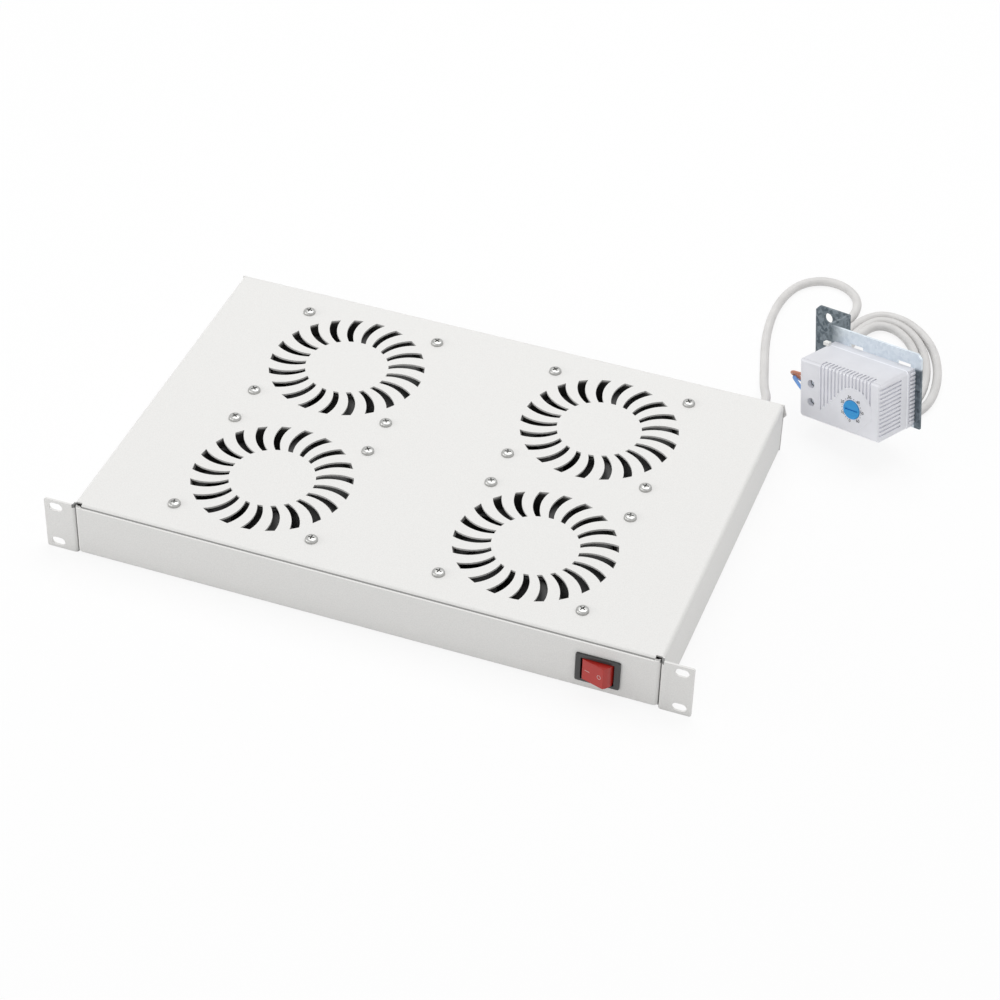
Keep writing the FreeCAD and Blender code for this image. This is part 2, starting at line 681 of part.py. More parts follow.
def add_front_panel():
    """The separate panel between the ears: a shallow folded pan, open at the top and the back."""
    body = new_body("front_panel")
    sheet = size["sheet"]
    end = wall_inside - size["panel_gap"]
    low = ground + 0.4
    high = ground + size["panel_height"] - 0.3
    block = new_sketch(body, "XZ_Plane", "panel_block", sheet)
    draw_rectangle(block, -end, low, end, high)
    pad(body, block, size["panel_flange"] + sheet, backward=True)
    round_edges(body, size["bend"] - 0.6, lambda edge: at(edge.CenterOfMass.y, ear_front) and (
        not at(edge.CenterOfMass.z, high)))
    hollow = new_sketch(body, "XY_Plane", "panel_hollow", high + 1.0)
    draw_rectangle(hollow, -(end - sheet), 0.0, end - sheet, size["panel_flange"] + 1.0)
    pocket(body, hollow, high - low - sheet + 1.0)
    # The middle of the upper edge is lower than the folded ends.
    dip = new_sketch(body, "XZ_Plane", "panel_dip", sheet + 1.0)
    low_edge = high - size["panel_rise"]
    run = end - size["bend"] - size["panel_rise"]
    draw_outline(dip, ((-run, low_edge), (run, low_edge), (run + size["panel_rise"], high + 1.0),
                       (-run - size["panel_rise"], high + 1.0)))
    pocket(body, dip, sheet + 1.5)
    # The end folds pass behind the lip's reliefs and stay clear of the top.
    clear = new_sketch(body, "YZ_Plane", "end_flange_trim")
    draw_rectangle(clear, 0.5, under_top - size["bend"] - 0.5, size["panel_flange"] + 1.0, high + 1.0)
    pocket(body, clear, 2 * end + 2.0, middle=True)
    corners = new_sketch(body, "XZ_Plane", "lower_corners", sheet + 1.0)
    for side in (-1, 1):
        draw_outline(corners, ((side * (end + 1.0), low - 1.0), (side * (end - 7.0), low - 1.0),
                               (side * (end - 6.0), low), (side * end, low + 2.4),
                               (side * (end + 1.0), low + 2.4)))
    pocket(body, corners, sheet * 2 + 1.0)
    opening = new_sketch(body, "XZ_Plane", "switch_opening", sheet + 1.0)
    half_width = size["switch_body_width"] / 2 + size["switch_fit"]
    half_height = size["switch_body_height"] / 2 + size["switch_fit"]
    middle = ground + size["switch_height"]
    draw_rectangle(opening, switch_across - half_width, middle - half_height,
                   switch_across + half_width, middle + half_height)
    pocket(body, opening, sheet + 2.0)


def add_fan_frame(number, across, along_tray):
    """The square frame of a fan: two flanges, the round barrel, and struts to the motor's plate."""
    body = new_body("fan_frame_%d" % number)
    half = size["fan_size"] / 2
    flanges = new_sketch(body, "XY_Plane", "upper_flange_%d" % number)
    draw_rectangle(flanges, -half, -half, half, half)
    pad(body, flanges, size["fan_flange"], backward=True)
    lower = new_sketch(body, "XY_Plane", "lower_flange_%d" % number, -size["fan_depth"])
    draw_rectangle(lower, -half, -half, half, half)
    barrel = new_sketch(body, "XY_Plane", "barrel_%d" % number, -size["fan_flange"])
    draw_circle(barrel, 0.0, 0.0, size["fan_barrel"] / 2)
    pad(body, barrel, size["fan_depth"] - size["fan_flange"], backward=True)
    pad(body, lower, size["fan_flange"])
    round_edges(body, size["fan_corner"], lambda edge: along(edge, UP) and (
        at(abs(edge.Vertexes[0].X), half) and at(abs(edge.Vertexes[0].Y), half)))
    bore = new_sketch(body, "XY_Plane", "bore_%d" % number, 1.0)
    draw_circle(bore, 0.0, 0.0, size["fan_bore"] / 2)
    pocket(body, bore, size["fan_depth"] + 2.0)
    plate = new_sketch(body, "XY_Plane", "motor_plate_%d" % number, -size["fan_depth"])
    draw_circle(plate, 0.0, 0.0, size["hub_radius"])
    pad(body, plate, size["motor_base"])
    strut = new_sketch(body, "XY_Plane", "strut_%d" % number, -size["fan_depth"])
    half_strut = size["strut_width"] / 2
    draw_rectangle(strut, size["hub_radius"] - 3.0, -half_strut, size["fan_bore"] / 2 + 1.0, half_strut)
    bar = pad(body, strut, size["motor_base"])
    ring = body.newObject("PartDesign::PolarPattern", "struts_%d" % number)
    ring.Originals = [bar]
    ring.Axis = (strut, ["N_Axis"])
    ring.Angle = 360
    bind(ring, "Occurrences", size["strut_count"])
    body.Tip = ring
    document.recompute()
    holes = new_sketch(body, "XY_Plane", "frame_holes_%d" % number, 1.0)
    hole_half = size["fan_holes"] / 2
    for side in (-1, 1):
        for end in (-1, 1):
            draw_circle(holes, side * hole_half, end * hole_half, size["screw_thread"] / 2 + 0.05)
    pocket(body, holes, size["fan_depth"] + 2.0)
    place(body, across, along_tray, under_top)


def add_fan_motor(number, across, along_tray):
    """The stator on its plate, with the bearing bore through its middle."""
    body = new_body("fan_motor_%d" % number)
    stator = new_sketch(body, "XY_Plane", "stator_%d" % number, motor_seat)
    draw_circle(stator, 0.0, 0.0, size["motor_radius"])
    pad(body, stator, stator_top - motor_seat)
    bore = new_sketch(body, "XY_Plane", "stator_bore_%d" % number, motor_seat - 1.0)
    draw_circle(bore, 0.0, 0.0, size["bearing_outside"] / 2 + size["seat_gap"])
    pocket(body, bore, size["fan_depth"], backward=True)
    place(body, across, along_tray, under_top)


def bearing_levels():
    """The lower faces of a fan's two bearings, under the fan's upper flange."""
    return (motor_seat, stator_top - size["bearing_length"])


def add_fan_bearings(number, across, along_tray):
    """The two bearing rings in the stator's bore."""
    rings = []
    for level in bearing_levels():
        outside = Part.makeCylinder(size["bearing_outside"] / 2, size["bearing_length"], V(0, 0, level))
        hole = size["shaft"] / 2 + size["running_gap"]
        inside = Part.makeCylinder(hole, size["bearing_length"], V(0, 0, level))
        rings.append(outside.cut(inside))
    item = shape_part("fan_bearings_%d" % number, Part.makeCompound(rings))
    place(item, across, along_tray, under_top)


def add_fan_shaft(number, across, along_tray):
    """The steel shaft, pressed into the hub and running in both bearings."""
    shaft = document.addObject("Part::Cylinder", "fan_shaft_%d" % number)
    lower = bearing_levels()[0] + 0.3
    bind(shaft, "Radius", size["shaft"] / 2)
    bind(shaft, "Height", -size["hub_top"] - size["hub_wall"] - lower)
    keep(shaft, "fan_shaft_%d" % number)
    place(shaft, across, along_tray, under_top + lower)


def blade_section(radius):
    """A thin bent section of a blade, square to the radius that it stands on."""
    turn = math.radians(float(size["blade_pitch"]))
    half = float(size["blade_chord"]) / 2
    rise = float(size["blade_chord"] * size["blade_bend"])
    thick = float(size["blade_thickness"])
    outline = ((-half, 0.0), (0.0, rise), (half, 0.0), (half, thick), (0.0, rise + thick), (-half, thick))
    middle = float(size["hub_top"] + size["hub_length"] / 2)
    points = []
    for run, lift in outline:
        tangent = run * math.cos(turn) - lift * math.sin(turn)
        height = run * math.sin(turn) + lift * math.cos(turn) - middle
        points.append(V(radius, tangent, height))
    return Part.Face(Part.makePolygon(points + points[:1]))


def impeller_shape():
    """The hub cup with its ring of swept, bent blades, trimmed to the swept cylinder."""
    hub_radius = float(size["hub_radius"])
    tip = float(size["fan_bore"] / 2 - size["blade_tip_gap"])
    hub_top = float(size["hub_top"])
    length = float(size["hub_length"])
    wall = float(size["hub_wall"])
    hub = Part.makeCylinder(hub_radius, length, V(0, 0, -hub_top - length))
    cup = Part.makeCylinder(hub_radius - wall, length - wall, V(0, 0, -hub_top - length))
    reach = V(tip - hub_radius + 8.0, size["blade_sweep"], 0)
    blade = blade_section(hub_radius - 4.0).extrude(reach)
    sweep = Part.makeCylinder(tip, length, V(0, 0, -hub_top - length))
    core = Part.makeCylinder(hub_radius - wall / 2, length, V(0, 0, -hub_top - length))
    blade = blade.common(sweep).cut(core)
    count = int(size["blade_count"])
    blades = [blade.rotated(V(0, 0, 0), UP, 360.0 * index / count) for index in range(count)]
    whole = hub.fuse(blades).cut(cup)
    return whole.removeSplitter()


def add_fan_impeller(number, across, along_tray, shape):
    item = shape_part("fan_impeller_%d" % number, shape)
    place(item, across, along_tray, under_top)


def many_sided(radius, sides, level, start=0.0):
    """A flat, regular face about the upright axis, with its corners on the radius."""
    step = 2 * math.pi / sides
    points = [V(radius * math.cos(start + step * turn), radius * math.sin(start + step * turn), level)
              for turn in range(sides)]
    return Part.Face(Part.makePolygon(points + points[:1]))


def screw_shape(head, head_height, thread, length):
    """A screw that points down, with its head's underside at the origin; both are many-sided."""
    cap = many_sided(head / 2, 16, 0.0).extrude(V(0, 0, head_height))
    stem = many_sided(thread / 2, 8, -length).extrude(V(0, 0, length))
    return cap.fuse(stem)


def add_fan_screws():
    """Sixteen screws through the top into the fans' frames."""
    screw = screw_shape(float(size["screw_head"]), float(size["screw_head_height"]),
                        float(size["screw_thread"]), float(size["screw_length"]))
    screws = [screw.translated(V(across, along_tray, top)) for across, along_tray in fan_hole_places()]
    shape_part("fan_screws", Part.makeCompound(screws))


def rocker_centre():
    """The rocker's pivot, behind the bezel's face."""
    return (switch_across, ear_front - size["bezel_depth"] + size["rocker_pivot"],
            ground + size["switch_height"])


def add_switch():
    """The rocker switch: a housing with its bezel, the rocker on its pins, and push-on terminals."""
    across, pivot, up = rocker_centre()
    body = new_body("switch_housing")
    face = ear_front - size["bezel_depth"]
    bezel = new_sketch(body, "XZ_Plane", "bezel", -face)
    half_width = size["bezel_width"] / 2
    half_height = size["bezel_height"] / 2
    draw_rectangle(bezel, across - half_width, up - half_height, across + half_width, up + half_height)
    pad(body, bezel, size["bezel_depth"], backward=True)
    round_edges(body, size["bezel_corner"], lambda edge: along(edge, V(0, 1, 0)))
    round_edges(body, size["bezel_corner"] / 3, lambda edge: at(edge.CenterOfMass.y, face),
                "PartDesign::Chamfer")
    block = new_sketch(body, "XZ_Plane", "switch_block", -ear_front)
    half_width = size["switch_body_width"] / 2
    half_height = size["switch_body_height"] / 2
    draw_rectangle(block, across - half_width, up - half_height, across + half_width, up + half_height)
    pad(body, block, size["switch_body_depth"], backward=True)
    well = new_sketch(body, "XZ_Plane", "rocker_well", -face + 1.0)
    half_width = size["rocker_radius"] + size["rocker_gap"]
    half_height = size["rocker_height"] / 2 + size["rocker_gap"]
    draw_rectangle(well, across - half_width, up - half_height, across + half_width, up + half_height)
    pocket(body, well, size["rocker_pivot"] + size["rocker_radius"] + 1.5)
    pins = new_sketch(body, "XY_Plane", "pin_holes", up)
    draw_circle(pins, across, pivot, size["rocker_pin"] / 2 + size["running_gap"])
    pocket(body, pins, size["rocker_height"] + 2 * size["rocker_gap"] + 1.6, middle=True)

    rocker = new_body("switch_rocker")
    radius = size["rocker_radius"]
    drum = new_sketch(rocker, "XY_Plane", "drum")
    draw_circle(drum, 0.0, 0.0, radius)
    pad(rocker, drum, size["rocker_height"], middle=True)
    sides = new_sketch(rocker, "XY_Plane", "flats", -size["rocker_height"])
    draw_rectangle(sides, -radius - 1.0, -radius - 1.0, radius + 1.0, -size["rocker_flat"])
    draw_rectangle(sides, -radius - 1.0, size["rocker_back"], radius + 1.0, radius + 1.0)
    pocket(rocker, sides, 2 * size["rocker_height"], backward=True)
    pin = new_sketch(rocker, "XY_Plane", "pivot_pins")
    draw_circle(pin, 0.0, 0.0, size["rocker_pin"] / 2)
    pad(rocker, pin, size["rocker_height"] + 2 * size["rocker_gap"] + 1.2, middle=True)
    document.recompute()
    place(rocker, across, pivot, up)
    bind(rocker, "Placement.Rotation.Yaw", -size["rocker_tilt"])

    back = ear_front + size["switch_body_depth"]
    blades = []
    for column in (-1, 0, 1):
        for row in (-1, 1):
            corner = V(across + column * size["switch_body_width"] * 0.3 - 0.4, back,
                       up + row * size["switch_body_height"] / 4 - size["blade_terminal"] / 2)
            blades.append(Part.makeBox(0.8, size["blade_terminal_length"], size["blade_terminal"], corner))
    shape_part("switch_terminals", Part.makeCompound(blades))


def add_mains_inlet():
    """The three-pin inlet in the rear wall, held by two screws and nuts."""
    middle = wall_openings_level
    body = new_body("mains_inlet")
    flange = new_sketch(body, "XZ_Plane", "inlet_flange", -rear)
    half_width = size["inlet_flange_width"] / 2
    half_height = size["inlet_flange_height"] / 2
    half_body = size["inlet_width"] / 2
    draw_outline(flange, (
        (-half_width, middle - 4.0), (-half_body, middle - half_height), (half_body, middle - half_height),
        (half_width, middle - 4.0), (half_width, middle + 4.0), (half_body, middle + half_height),
        (-half_body, middle + half_height), (-half_width, middle + 4.0),
    ))
    pad(body, flange, size["inlet_flange_depth"], backward=True)
    block = new_sketch(body, "XZ_Plane", "inlet_block", -rear)
    half_height = size["inlet_height"] / 2
    draw_rectangle(block, -half_body, middle - half_height, half_body, middle + half_height)
    pad(body, block, size["inlet_depth"])
    socket = new_sketch(body, "XZ_Plane", "inlet_socket", -rear - size["inlet_flange_depth"] - 1.0)
    wide = half_body - size["inlet_wall"]
    tall = half_height - size["inlet_wall"]
    draw_outline(socket, ((-wide, middle - tall), (wide, middle - tall), (wide, middle + tall - 4.5),
                          (wide - 4.5, middle + tall), (-wide + 4.5, middle + tall),
                          (-wide, middle + tall - 4.5)))
    pocket(body, socket, size["inlet_socket"] + 1.0, backward=True)
    holes = new_sketch(body, "XZ_Plane", "inlet_screw_holes", -rear + 1.0)
    small_hole = size["small_thread"] / 2 + size["hole_room"]
    for side in (-1, 1):
        draw_circle(holes, side * size["inlet_holes"] / 2, middle, small_hole)
    pocket(body, holes, size["inlet_flange_depth"] + 2.0)

    seat = rear + size["inlet_flange_depth"] - size["inlet_socket"]
    pins = []
    for across, lift in ((-7.0, -1.8), (7.0, -1.8), (0.0, 2.2)):
        pins.append(Part.makeBox(2.0, size["pin_length"], 4.0, V(across - 1.0, seat, middle + lift - 2.0)))
    shape_part("inlet_pins", Part.makeCompound(pins))

    screws = []
    nuts = []
    for side in (-1, 1):
        across = side * size["inlet_holes"] / 2
        screw = screw_shape(5.6, 2.0, float(size["small_thread"]), 10.0)
        screw.rotate(V(0, 0, 0), V(1, 0, 0), -90)
        screw.translate(V(across, rear + size["inlet_flange_depth"], middle))
        screws.append(screw)
        nuts.append(hex_nut(5.5, 2.4, float(size["small_thread"]) / 2 + 0.05, V(across, rear_inside, middle)))
    shape_part("inlet_screws", Part.makeCompound(screws))
    shape_part("inlet_nuts", Part.makeCompound(nuts))


def hexagon_bar(flats, length):
    """A hexagon bar from the origin back along the tray, with two corners level."""
    bar = many_sided(flats / 2 / math.cos(math.pi / 6), 6, 0.0).extrude(V(0, 0, length))
    bar.rotate(V(0, 0, 0), V(1, 0, 0), -90)
    return bar


def hex_nut(flats, height, bore, face):
    """A hexagon nut on the inside of the rear wall, with its seat at the given point."""
    nut = hexagon_bar(flats, height)
    hole = Part.makeCylinder(bore, height, V(0, 0, 0), V(0, 1, 0))
    return nut.cut(hole).translated(face - V(0, height, 0))


def add_gland():
    """The gland that holds the thermostat's cord in the rear wall, with its locknut inside."""
    middle = wall_openings_level
    axis = V(gland_across, rear, middle)
    flats = float(size["gland_hex"])
    nose = float(size["gland_nose"])
    bore = float(size["cord"]) / 2 + 0.05
    thread = float(size["gland_thread"]) / 2
    collar = hexagon_bar(flats, 9.0)
    taper = Part.makeCone(flats / 2, bore + 1.2, nose - 9.0, V(0, 9.0, 0), V(0, 1, 0))
    stem = Part.makeCylinder(thread, 10.0, V(0, -10.0, 0), V(0, 1, 0))
    hole = Part.makeCylinder(bore, nose + 12.0, V(0, -11.0, 0), V(0, 1, 0))
    body = collar.fuse([taper, stem]).cut(hole).removeSplitter()
    shape_part("cable_gland", body.translated(axis))
    nut = hex_nut(flats - 1.0, 4.0, thread + 0.05, V(gland_across, rear_inside, middle))
    shape_part("gland_nut", nut)


def add_terminal_block():
    """The terminal block under the top, in the channel between the fans, with its fixing screws."""
    body = new_body("terminal_block")
    length = 2 * (fan_across - size["fan_size"] / 2 - size["block_room"])
    width = size["block_width"]
    back = rear_inside - 45.0
    outline = new_sketch(body, "XY_Plane", "block_outline", under_top)
    draw_rectangle(outline, -length / 2, back - width, length / 2, back)
    pad(body, outline, size["block_height"], backward=True)
    chamfer_level = under_top - size["block_height"]
    round_edges(body, 3.0, lambda edge: along(edge, V(1, 0, 0)) and (
        at(edge.Vertexes[0].Z, chamfer_level)), "PartDesign::Chamfer")
    pitch = length / size["block_ways"]
    wells = new_sketch(body, "XY_Plane", "screw_wells", under_top - size["block_height"] - 1.0)
    first = -length / 2 + pitch / 2
    half_well = size["block_well"] / 2
    for end in (-1, 1):
        middle = back - width / 2 + end * width / 5
        draw_rectangle(wells, first - half_well, middle - half_well, first + half_well, middle + half_well)
    cut = pocket(body, wells, 7.0, backward=True)
    repeat(body, cut, "H_Axis", size["block_ways"], length - pitch)
    document.recompute()


def add_earth_stud():
    """The earth stud through the rear wall, with a nut outside and one inside."""
    middle = wall_openings_level
    across = -gland_across
    radius = float(size["earth_thread"]) / 2
    stud = Part.makeCylinder(radius, 22.0, V(across, rear_inside - 12.0, middle), V(0, 1, 0))
    shape_part("earth_stud", stud)
    inside = hex_nut(8.0, 4.0, radius + 0.05, V(across, rear_inside, middle))
    outside = hex_nut(8.0, 4.0, radius + 0.05, V(across, rear + 4.0, middle))
    shape_part("earth_nuts", Part.makeCompound([inside, outside]))


def case_placement():
    """The thermostat's own frame: across its face, back through it, and up it."""
    turn = FreeCAD.Rotation(UP, float(size["case_yaw"]))
    across = turn.multVec(V(1, 0, 0))
    forward = turn.multVec(V(0, -1, 0))
    tilt = FreeCAD.Rotation(forward, float(size["case_tilt"]))
    raised = tilt.multVec(across)
    lean = FreeCAD.Rotation(raised, -float(size["case_lean"]))
    corner = V(wall_outside + size["case_beside"], rear + size["case_behind"], ground + size["case_up"])
    return FreeCAD.Placement(corner, lean.multiply(tilt).multiply(turn))


def groove_end(run):
    """The lower end of a face groove: on the arch over the dial, or on the slope left of it."""
    arch = float(size["arch"])
    centre = float(dial_across) + float(size["arch_shift"])
    slope_touch = centre - arch * math.sin(math.pi / 4)
    upright = float(size["dial_up"])
    if run < slope_touch:
        return upright + arch * math.cos(math.pi / 4) - (slope_touch - run) * float(size["arch_slope"])
    return upright + math.sqrt(max(arch ** 2 - (run - centre) ** 2, 4.0))


def add_thermostat_cover(placement):
    """The moulded cover: grooved face and right end, terminal holes, and the dial's seat."""
    body = new_body("thermostat_cover")
    width = size["case_width"]
    height = size["case_height"]
    depth = size["cover_depth"]
    wall = size["case_wall"]
    block = new_sketch(body, "XZ_Plane", "cover_block")
    draw_rectangle(block, 0.0, 0.0, width, height)
    pad(body, block, depth, backward=True)
    round_edges(body, size["case_corner"], lambda edge: along(edge, V(0, 1, 0)))
    round_edges(body, size["case_bevel"], lambda edge: at(edge.CenterOfMass.y, 0.0), "PartDesign::Chamfer")
    hollow = new_sketch(body, "XZ_Plane", "cover_hollow", -wall * 2)
    draw_rectangle(hollow, wall, wall, width - wall, height - wall)
    pocket(body, hollow, depth)
    half = size["groove_width"] / 2
    face = new_sketch(body, "XZ_Plane", "face_grooves", 1.0)
    last = int(size["front_grooves"])
    for index in range(last):
        run = size["first_front_groove"] + index * size["front_groove_pitch"]
        draw_rectangle(face, run - half, groove_end(float(run)), run + half, height + 1.0)
    pocket(body, face, size["groove_depth"] + 1.0)
    roof = new_sketch(body, "XY_Plane", "roof_groove", height + 1.0)
    first = size["first_front_groove"]
    draw_rectangle(roof, first - half, -1.0, first + half, size["top_groove_run"])
    cut = pocket(body, roof, size["groove_depth"] + 1.0)
    repeat(body, cut, "H_Axis", size["front_grooves"],
           (size["front_grooves"] - 1) * size["front_groove_pitch"])
    document.recompute()
    end = new_sketch(body, "YZ_Plane", "end_groove", width + 1.0)
    low = size["first_side_groove"]
    draw_rectangle(end, -1.0, low - half, size["side_groove_run"], low + half)
    cut = pocket(body, end, size["groove_depth"] + 1.0)
    repeat(body, cut, "V_Axis", size["side_grooves"], (size["side_grooves"] - 1) * size["side_groove_pitch"])
    document.recompute()
    holes = new_sketch(body, "XZ_Plane", "terminal_holes", 1.0)
    for level in ("upper_terminal", "lower_terminal"):
        draw_circle(holes, size["terminal_across"], size[level], size["terminal_hole"] / 2)
    pocket(body, holes, wall * 2 + 2.0)
    seat = new_sketch(body, "XZ_Plane", "dial_seat", 1.0)
    draw_circle(seat, dial_across, size["dial_up"], size["dial"] / 2 + size["dial_gap"])
    pocket(body, seat, size["dial_depth"] + size["dial_gap"] + 1.0)
    spindle = new_sketch(body, "XZ_Plane", "spindle_hole", 1.0)
    draw_circle(spindle, dial_across, size["dial_up"],
                size["dial_spindle"] / 2 + size["running_gap"])
    pocket(body, spindle, wall * 2 + 2.0)
    entries = new_sketch(body, "YZ_Plane", "wire_entries", -1.0)
    for level in ("upper_terminal", "lower_terminal"):
        draw_circle(entries, size["core_back"], size[level], size["core"] / 2 + 0.3)
    pocket(body, entries, wall + 2.0, backward=True)
    body.Placement = placement


def add_thermostat_base(placement):
    """The base that closes the cover's back, with a hooked edge for the bracket's slots."""
    body = new_body("thermostat_base")
    inset = 0.6
    block = new_sketch(body, "XZ_Plane", "base_block", -size["cover_depth"])
    draw_rectangle(block, inset, inset, size["case_width"] - inset, size["case_height"] - inset)
    pad(body, block, size["base_depth"], backward=True)
    spigot = new_sketch(body, "XZ_Plane", "base_spigot", -size["cover_depth"])
    edge = size["case_wall"] + 0.3
    draw_rectangle(spigot, edge, edge, size["case_width"] - edge, size["case_height"] - edge)
    pad(body, spigot, 3.0)
    body.Placement = placement


def add_thermostat_insides(placement):
    """Terminal carrier with its two screws, and the dial on its spindle."""
    back = size["cover_depth"] - 3.0
    body = new_body("thermostat_carrier")
    block = new_sketch(body, "XZ_Plane", "carrier_block", -back)
    left = size["case_wall"] + 0.5
    draw_rectangle(block, left, size["lower_terminal"] - 6.5, size["terminal_across"] + 9.0,
                   size["upper_terminal"] + 6.5)
    pad(body, block, back - 6.5)
    entries = new_sketch(body, "YZ_Plane", "carrier_entries", left - 1.0)
    for level in ("upper_terminal", "lower_terminal"):
        draw_circle(entries, size["core_back"], size[level], size["core"] / 2 + 0.3)
    pocket(body, entries, 6.0, backward=True)
    wells = new_sketch(body, "XZ_Plane", "carrier_screw_holes", -5.5)
    for level in ("upper_terminal", "lower_terminal"):
        draw_circle(wells, size["terminal_across"], size[level], size["small_thread"] / 2 + size["seat_gap"])
    pocket(body, wells, 9.0)
    body.Placement = placement

    screws = []
    for level in ("upper_terminal", "lower_terminal"):
        screw = screw_shape(5.4, 1.6, float(size["small_thread"]), 6.0)
        screw.rotate(V(0, 0, 0), V(1, 0, 0), 90)
        screw.translate(V(size["terminal_across"], 6.5, size[level]))
        screws.append(screw)
    item = shape_part("thermostat_screws", Part.makeCompound(screws))
    item.Placement = placement

    dial = new_body("thermostat_dial")
    disc = new_sketch(dial, "XZ_Plane", "dial_disc", -size["dial_depth"])
    draw_circle(disc, dial_across, size["dial_up"], size["dial"] / 2)
    pad(dial, disc, size["dial_depth"] + size["dial_proud"])
    stem = new_sketch(dial, "XZ_Plane", "dial_stem", -size["dial_depth"])
    draw_circle(stem, dial_across, size["dial_up"], size["dial_spindle"] / 2)
    pad(dial, stem, 8.0, backward=True)
    slot = new_sketch(dial, "XZ_Plane", "dial_slot", size["dial_proud"] + 1.0)
    reach = size["dial"] / 2 - 1.6
    draw_rectangle(slot, dial_across - reach, size["dial_up"] - 0.6,
                   dial_across + reach, size["dial_up"] + 0.6)
    pocket(dial, slot, 2.2)
    dial.Placement = placement


def add_bracket(placement):
    """The zinc-plated bracket: plate behind the thermostat, web, and the tab with its hole."""
    body = new_body("thermostat_bracket")
    sheet = size["bracket_sheet"]
    face = size["cover_depth"] + size["base_depth"]
    left = -size["plate_left"]
    right = size["case_width"] + size["plate_right"]
    high = size["case_height"] + size["plate_above"]
    step = size["bracket_step"]
    plan = new_sketch(body, "XY_Plane", "bracket_plan", -size["plate_below"])
    draw_outline(plan, (
        (right, face), (right, face + sheet),
        (left + sheet, face + sheet), (left + sheet, face + step + sheet),
        (left - size["bracket_tab"], face + step + sheet), (left - size["bracket_tab"], face + step),
        (left, face + step), (left, face),
    ))
    pad(body, plan, high + size["plate_below"])
    corner = size["plate_chamfer"]
    round_edges(body, corner, lambda edge: along(edge, V(0, 1, 0)) and edge.Length < 3.0 and (
        at(edge.Vertexes[0].Z, high)), "PartDesign::Chamfer")
    foot = new_sketch(body, "XZ_Plane", "tab_foot", -face - sheet - 0.5)
    draw_rectangle(foot, left - size["bracket_tab"] - 1.0, -size["plate_below"] - 1.0,
                   left + sheet + 1.0, high - size["bracket_tab_height"])
    pocket(body, foot, step + 2.0)
    hole = new_sketch(body, "XZ_Plane", "tab_hole", -face - step + 1.0)
    draw_circle(hole, left - size["bracket_hole_inset"], high - size["bracket_hole_drop"],
                size["bracket_hole"] / 2)
    pocket(body, hole, sheet + 2.0)
    slots = new_sketch(body, "XZ_Plane", "plate_slots", -face + 1.0)
    half_slot = size["plate_slot"] / 2
    for across in (size["plate_slot_inset"] * 2, size["case_width"] - size["plate_slot_inset"]):
        draw_rectangle(slots, across - half_slot, size["case_height"] - 2.6,
                       across + half_slot, size["case_height"] + 1.8)
    pocket(body, slots, sheet + 2.0)
    body.Placement = placement

    clip = new_body("rail_clip")
    bar = new_sketch(clip, "XY_Plane", "clip_plan", size["case_height"])
    draw_rectangle(bar, -1.5, size["cover_depth"] - 3.5, 3.5, size["cover_depth"])
    pad(clip, bar, 2.6)
    clip.Placement = placement


def behind_tray(route):
    """A route's points in the part's own frame, from the tray's rear right corner."""
    return [V(wall_outside + beside, rear + behind, ground + up) for beside, behind, up in route]


def oval(grow):
    """The coil's oval on the surface, grown or shrunk about the middle of its turns."""
    centre = V(wall_outside + COIL_MIDDLE[0], rear + COIL_MIDDLE[1], ground)
    short = float(size["coil_across"] / 2) + grow
    long = float(size["coil_along"] / 2) + grow
    curve = Part.Ellipse(centre + V(0, long, 0), centre + V(short, 0, 0), centre)
    return Part.Face(Part.Wire(curve.toShape()))


def coil_shape(placement):
    """The outer shape of the coil: an oval ring, as high as the bracket that rests on it allows."""
    half = float(size["coil_width"]) / 2
    ring = oval(half).cut(oval(-half))
    low = ring.extrude(V(0, 0, size["coil_low"]))
    high = ring.extrude(V(0, 0, size["coil_high"]))
    wide = 600.0
    over = Part.makeBox(wide, wide, wide, V(-wide / 2, -wide / 2, -size["plate_below"] - size["coil_gap"]))
    over.Placement = placement.multiply(over.Placement)
    return low.fuse(high.cut(over)).removeSplitter()


def add_cord(placement):
    """The thermostat's cord: free lead, coiled bundle and tail, and its two conductors."""
    lead = behind_tray(LEAD_ROUTE)
    shape_part("cord_lead", tube("cord_lead", lead, size["cord"], 8))
    tail = behind_tray(TAIL_ROUTE)
    shape_part("cord_tail", tube("cord_tail", tail, size["cord"], 8))
    shape_part("cord_coil", coil_shape(placement))
    for node, route in (("wire_brown", BROWN_ROUTE), ("wire_blue", BLUE_ROUTE)):
        points = [placement.multVec(V(*point)) for point in route]
        shape_part(node, tube(node, points, size["core"], 6))


def check_and_write():
    """Stop on any failed object, then write each sub-part to its own file."""
    document.recompute()
    for item in document.Objects:
        if "Invalid" in item.State or "Error" in item.State:
            raise RuntimeError("%s failed: %s" % (item.Name, item.State))
    os.makedirs("parts", exist_ok=True)
    for item in parts:
        shape = item.Shape
        if shape.isNull() or not shape.isValid() or not shape.Solids:
            raise RuntimeError("%s has no valid shape" % item.Label)
        shape.exportStep("parts/%s.step" % item.Label)


add_tray_shell()
add_front_panel()
blades = impeller_shape()
for number, (across, along_tray) in enumerate(fan_places, start=1):
    add_fan_frame(number, across, along_tray)
    add_fan_motor(number, across, along_tray)
    add_fan_bearings(number, across, along_tray)
    add_fan_shaft(number, across, along_tray)
    add_fan_impeller(number, across, along_tray, blades)
add_fan_screws()
add_switch()
add_mains_inlet()
add_gland()
add_terminal_block()
add_earth_stud()
case = case_placement()
add_thermostat_cover(case)
add_thermostat_base(case)
add_thermostat_insides(case)
add_bracket(case)
add_cord(case)
check_and_write()
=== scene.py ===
import bpy
import bmesh
import json
import math
from mathutils import Matrix, Vector
from mathutils.bvhtree import BVHTree


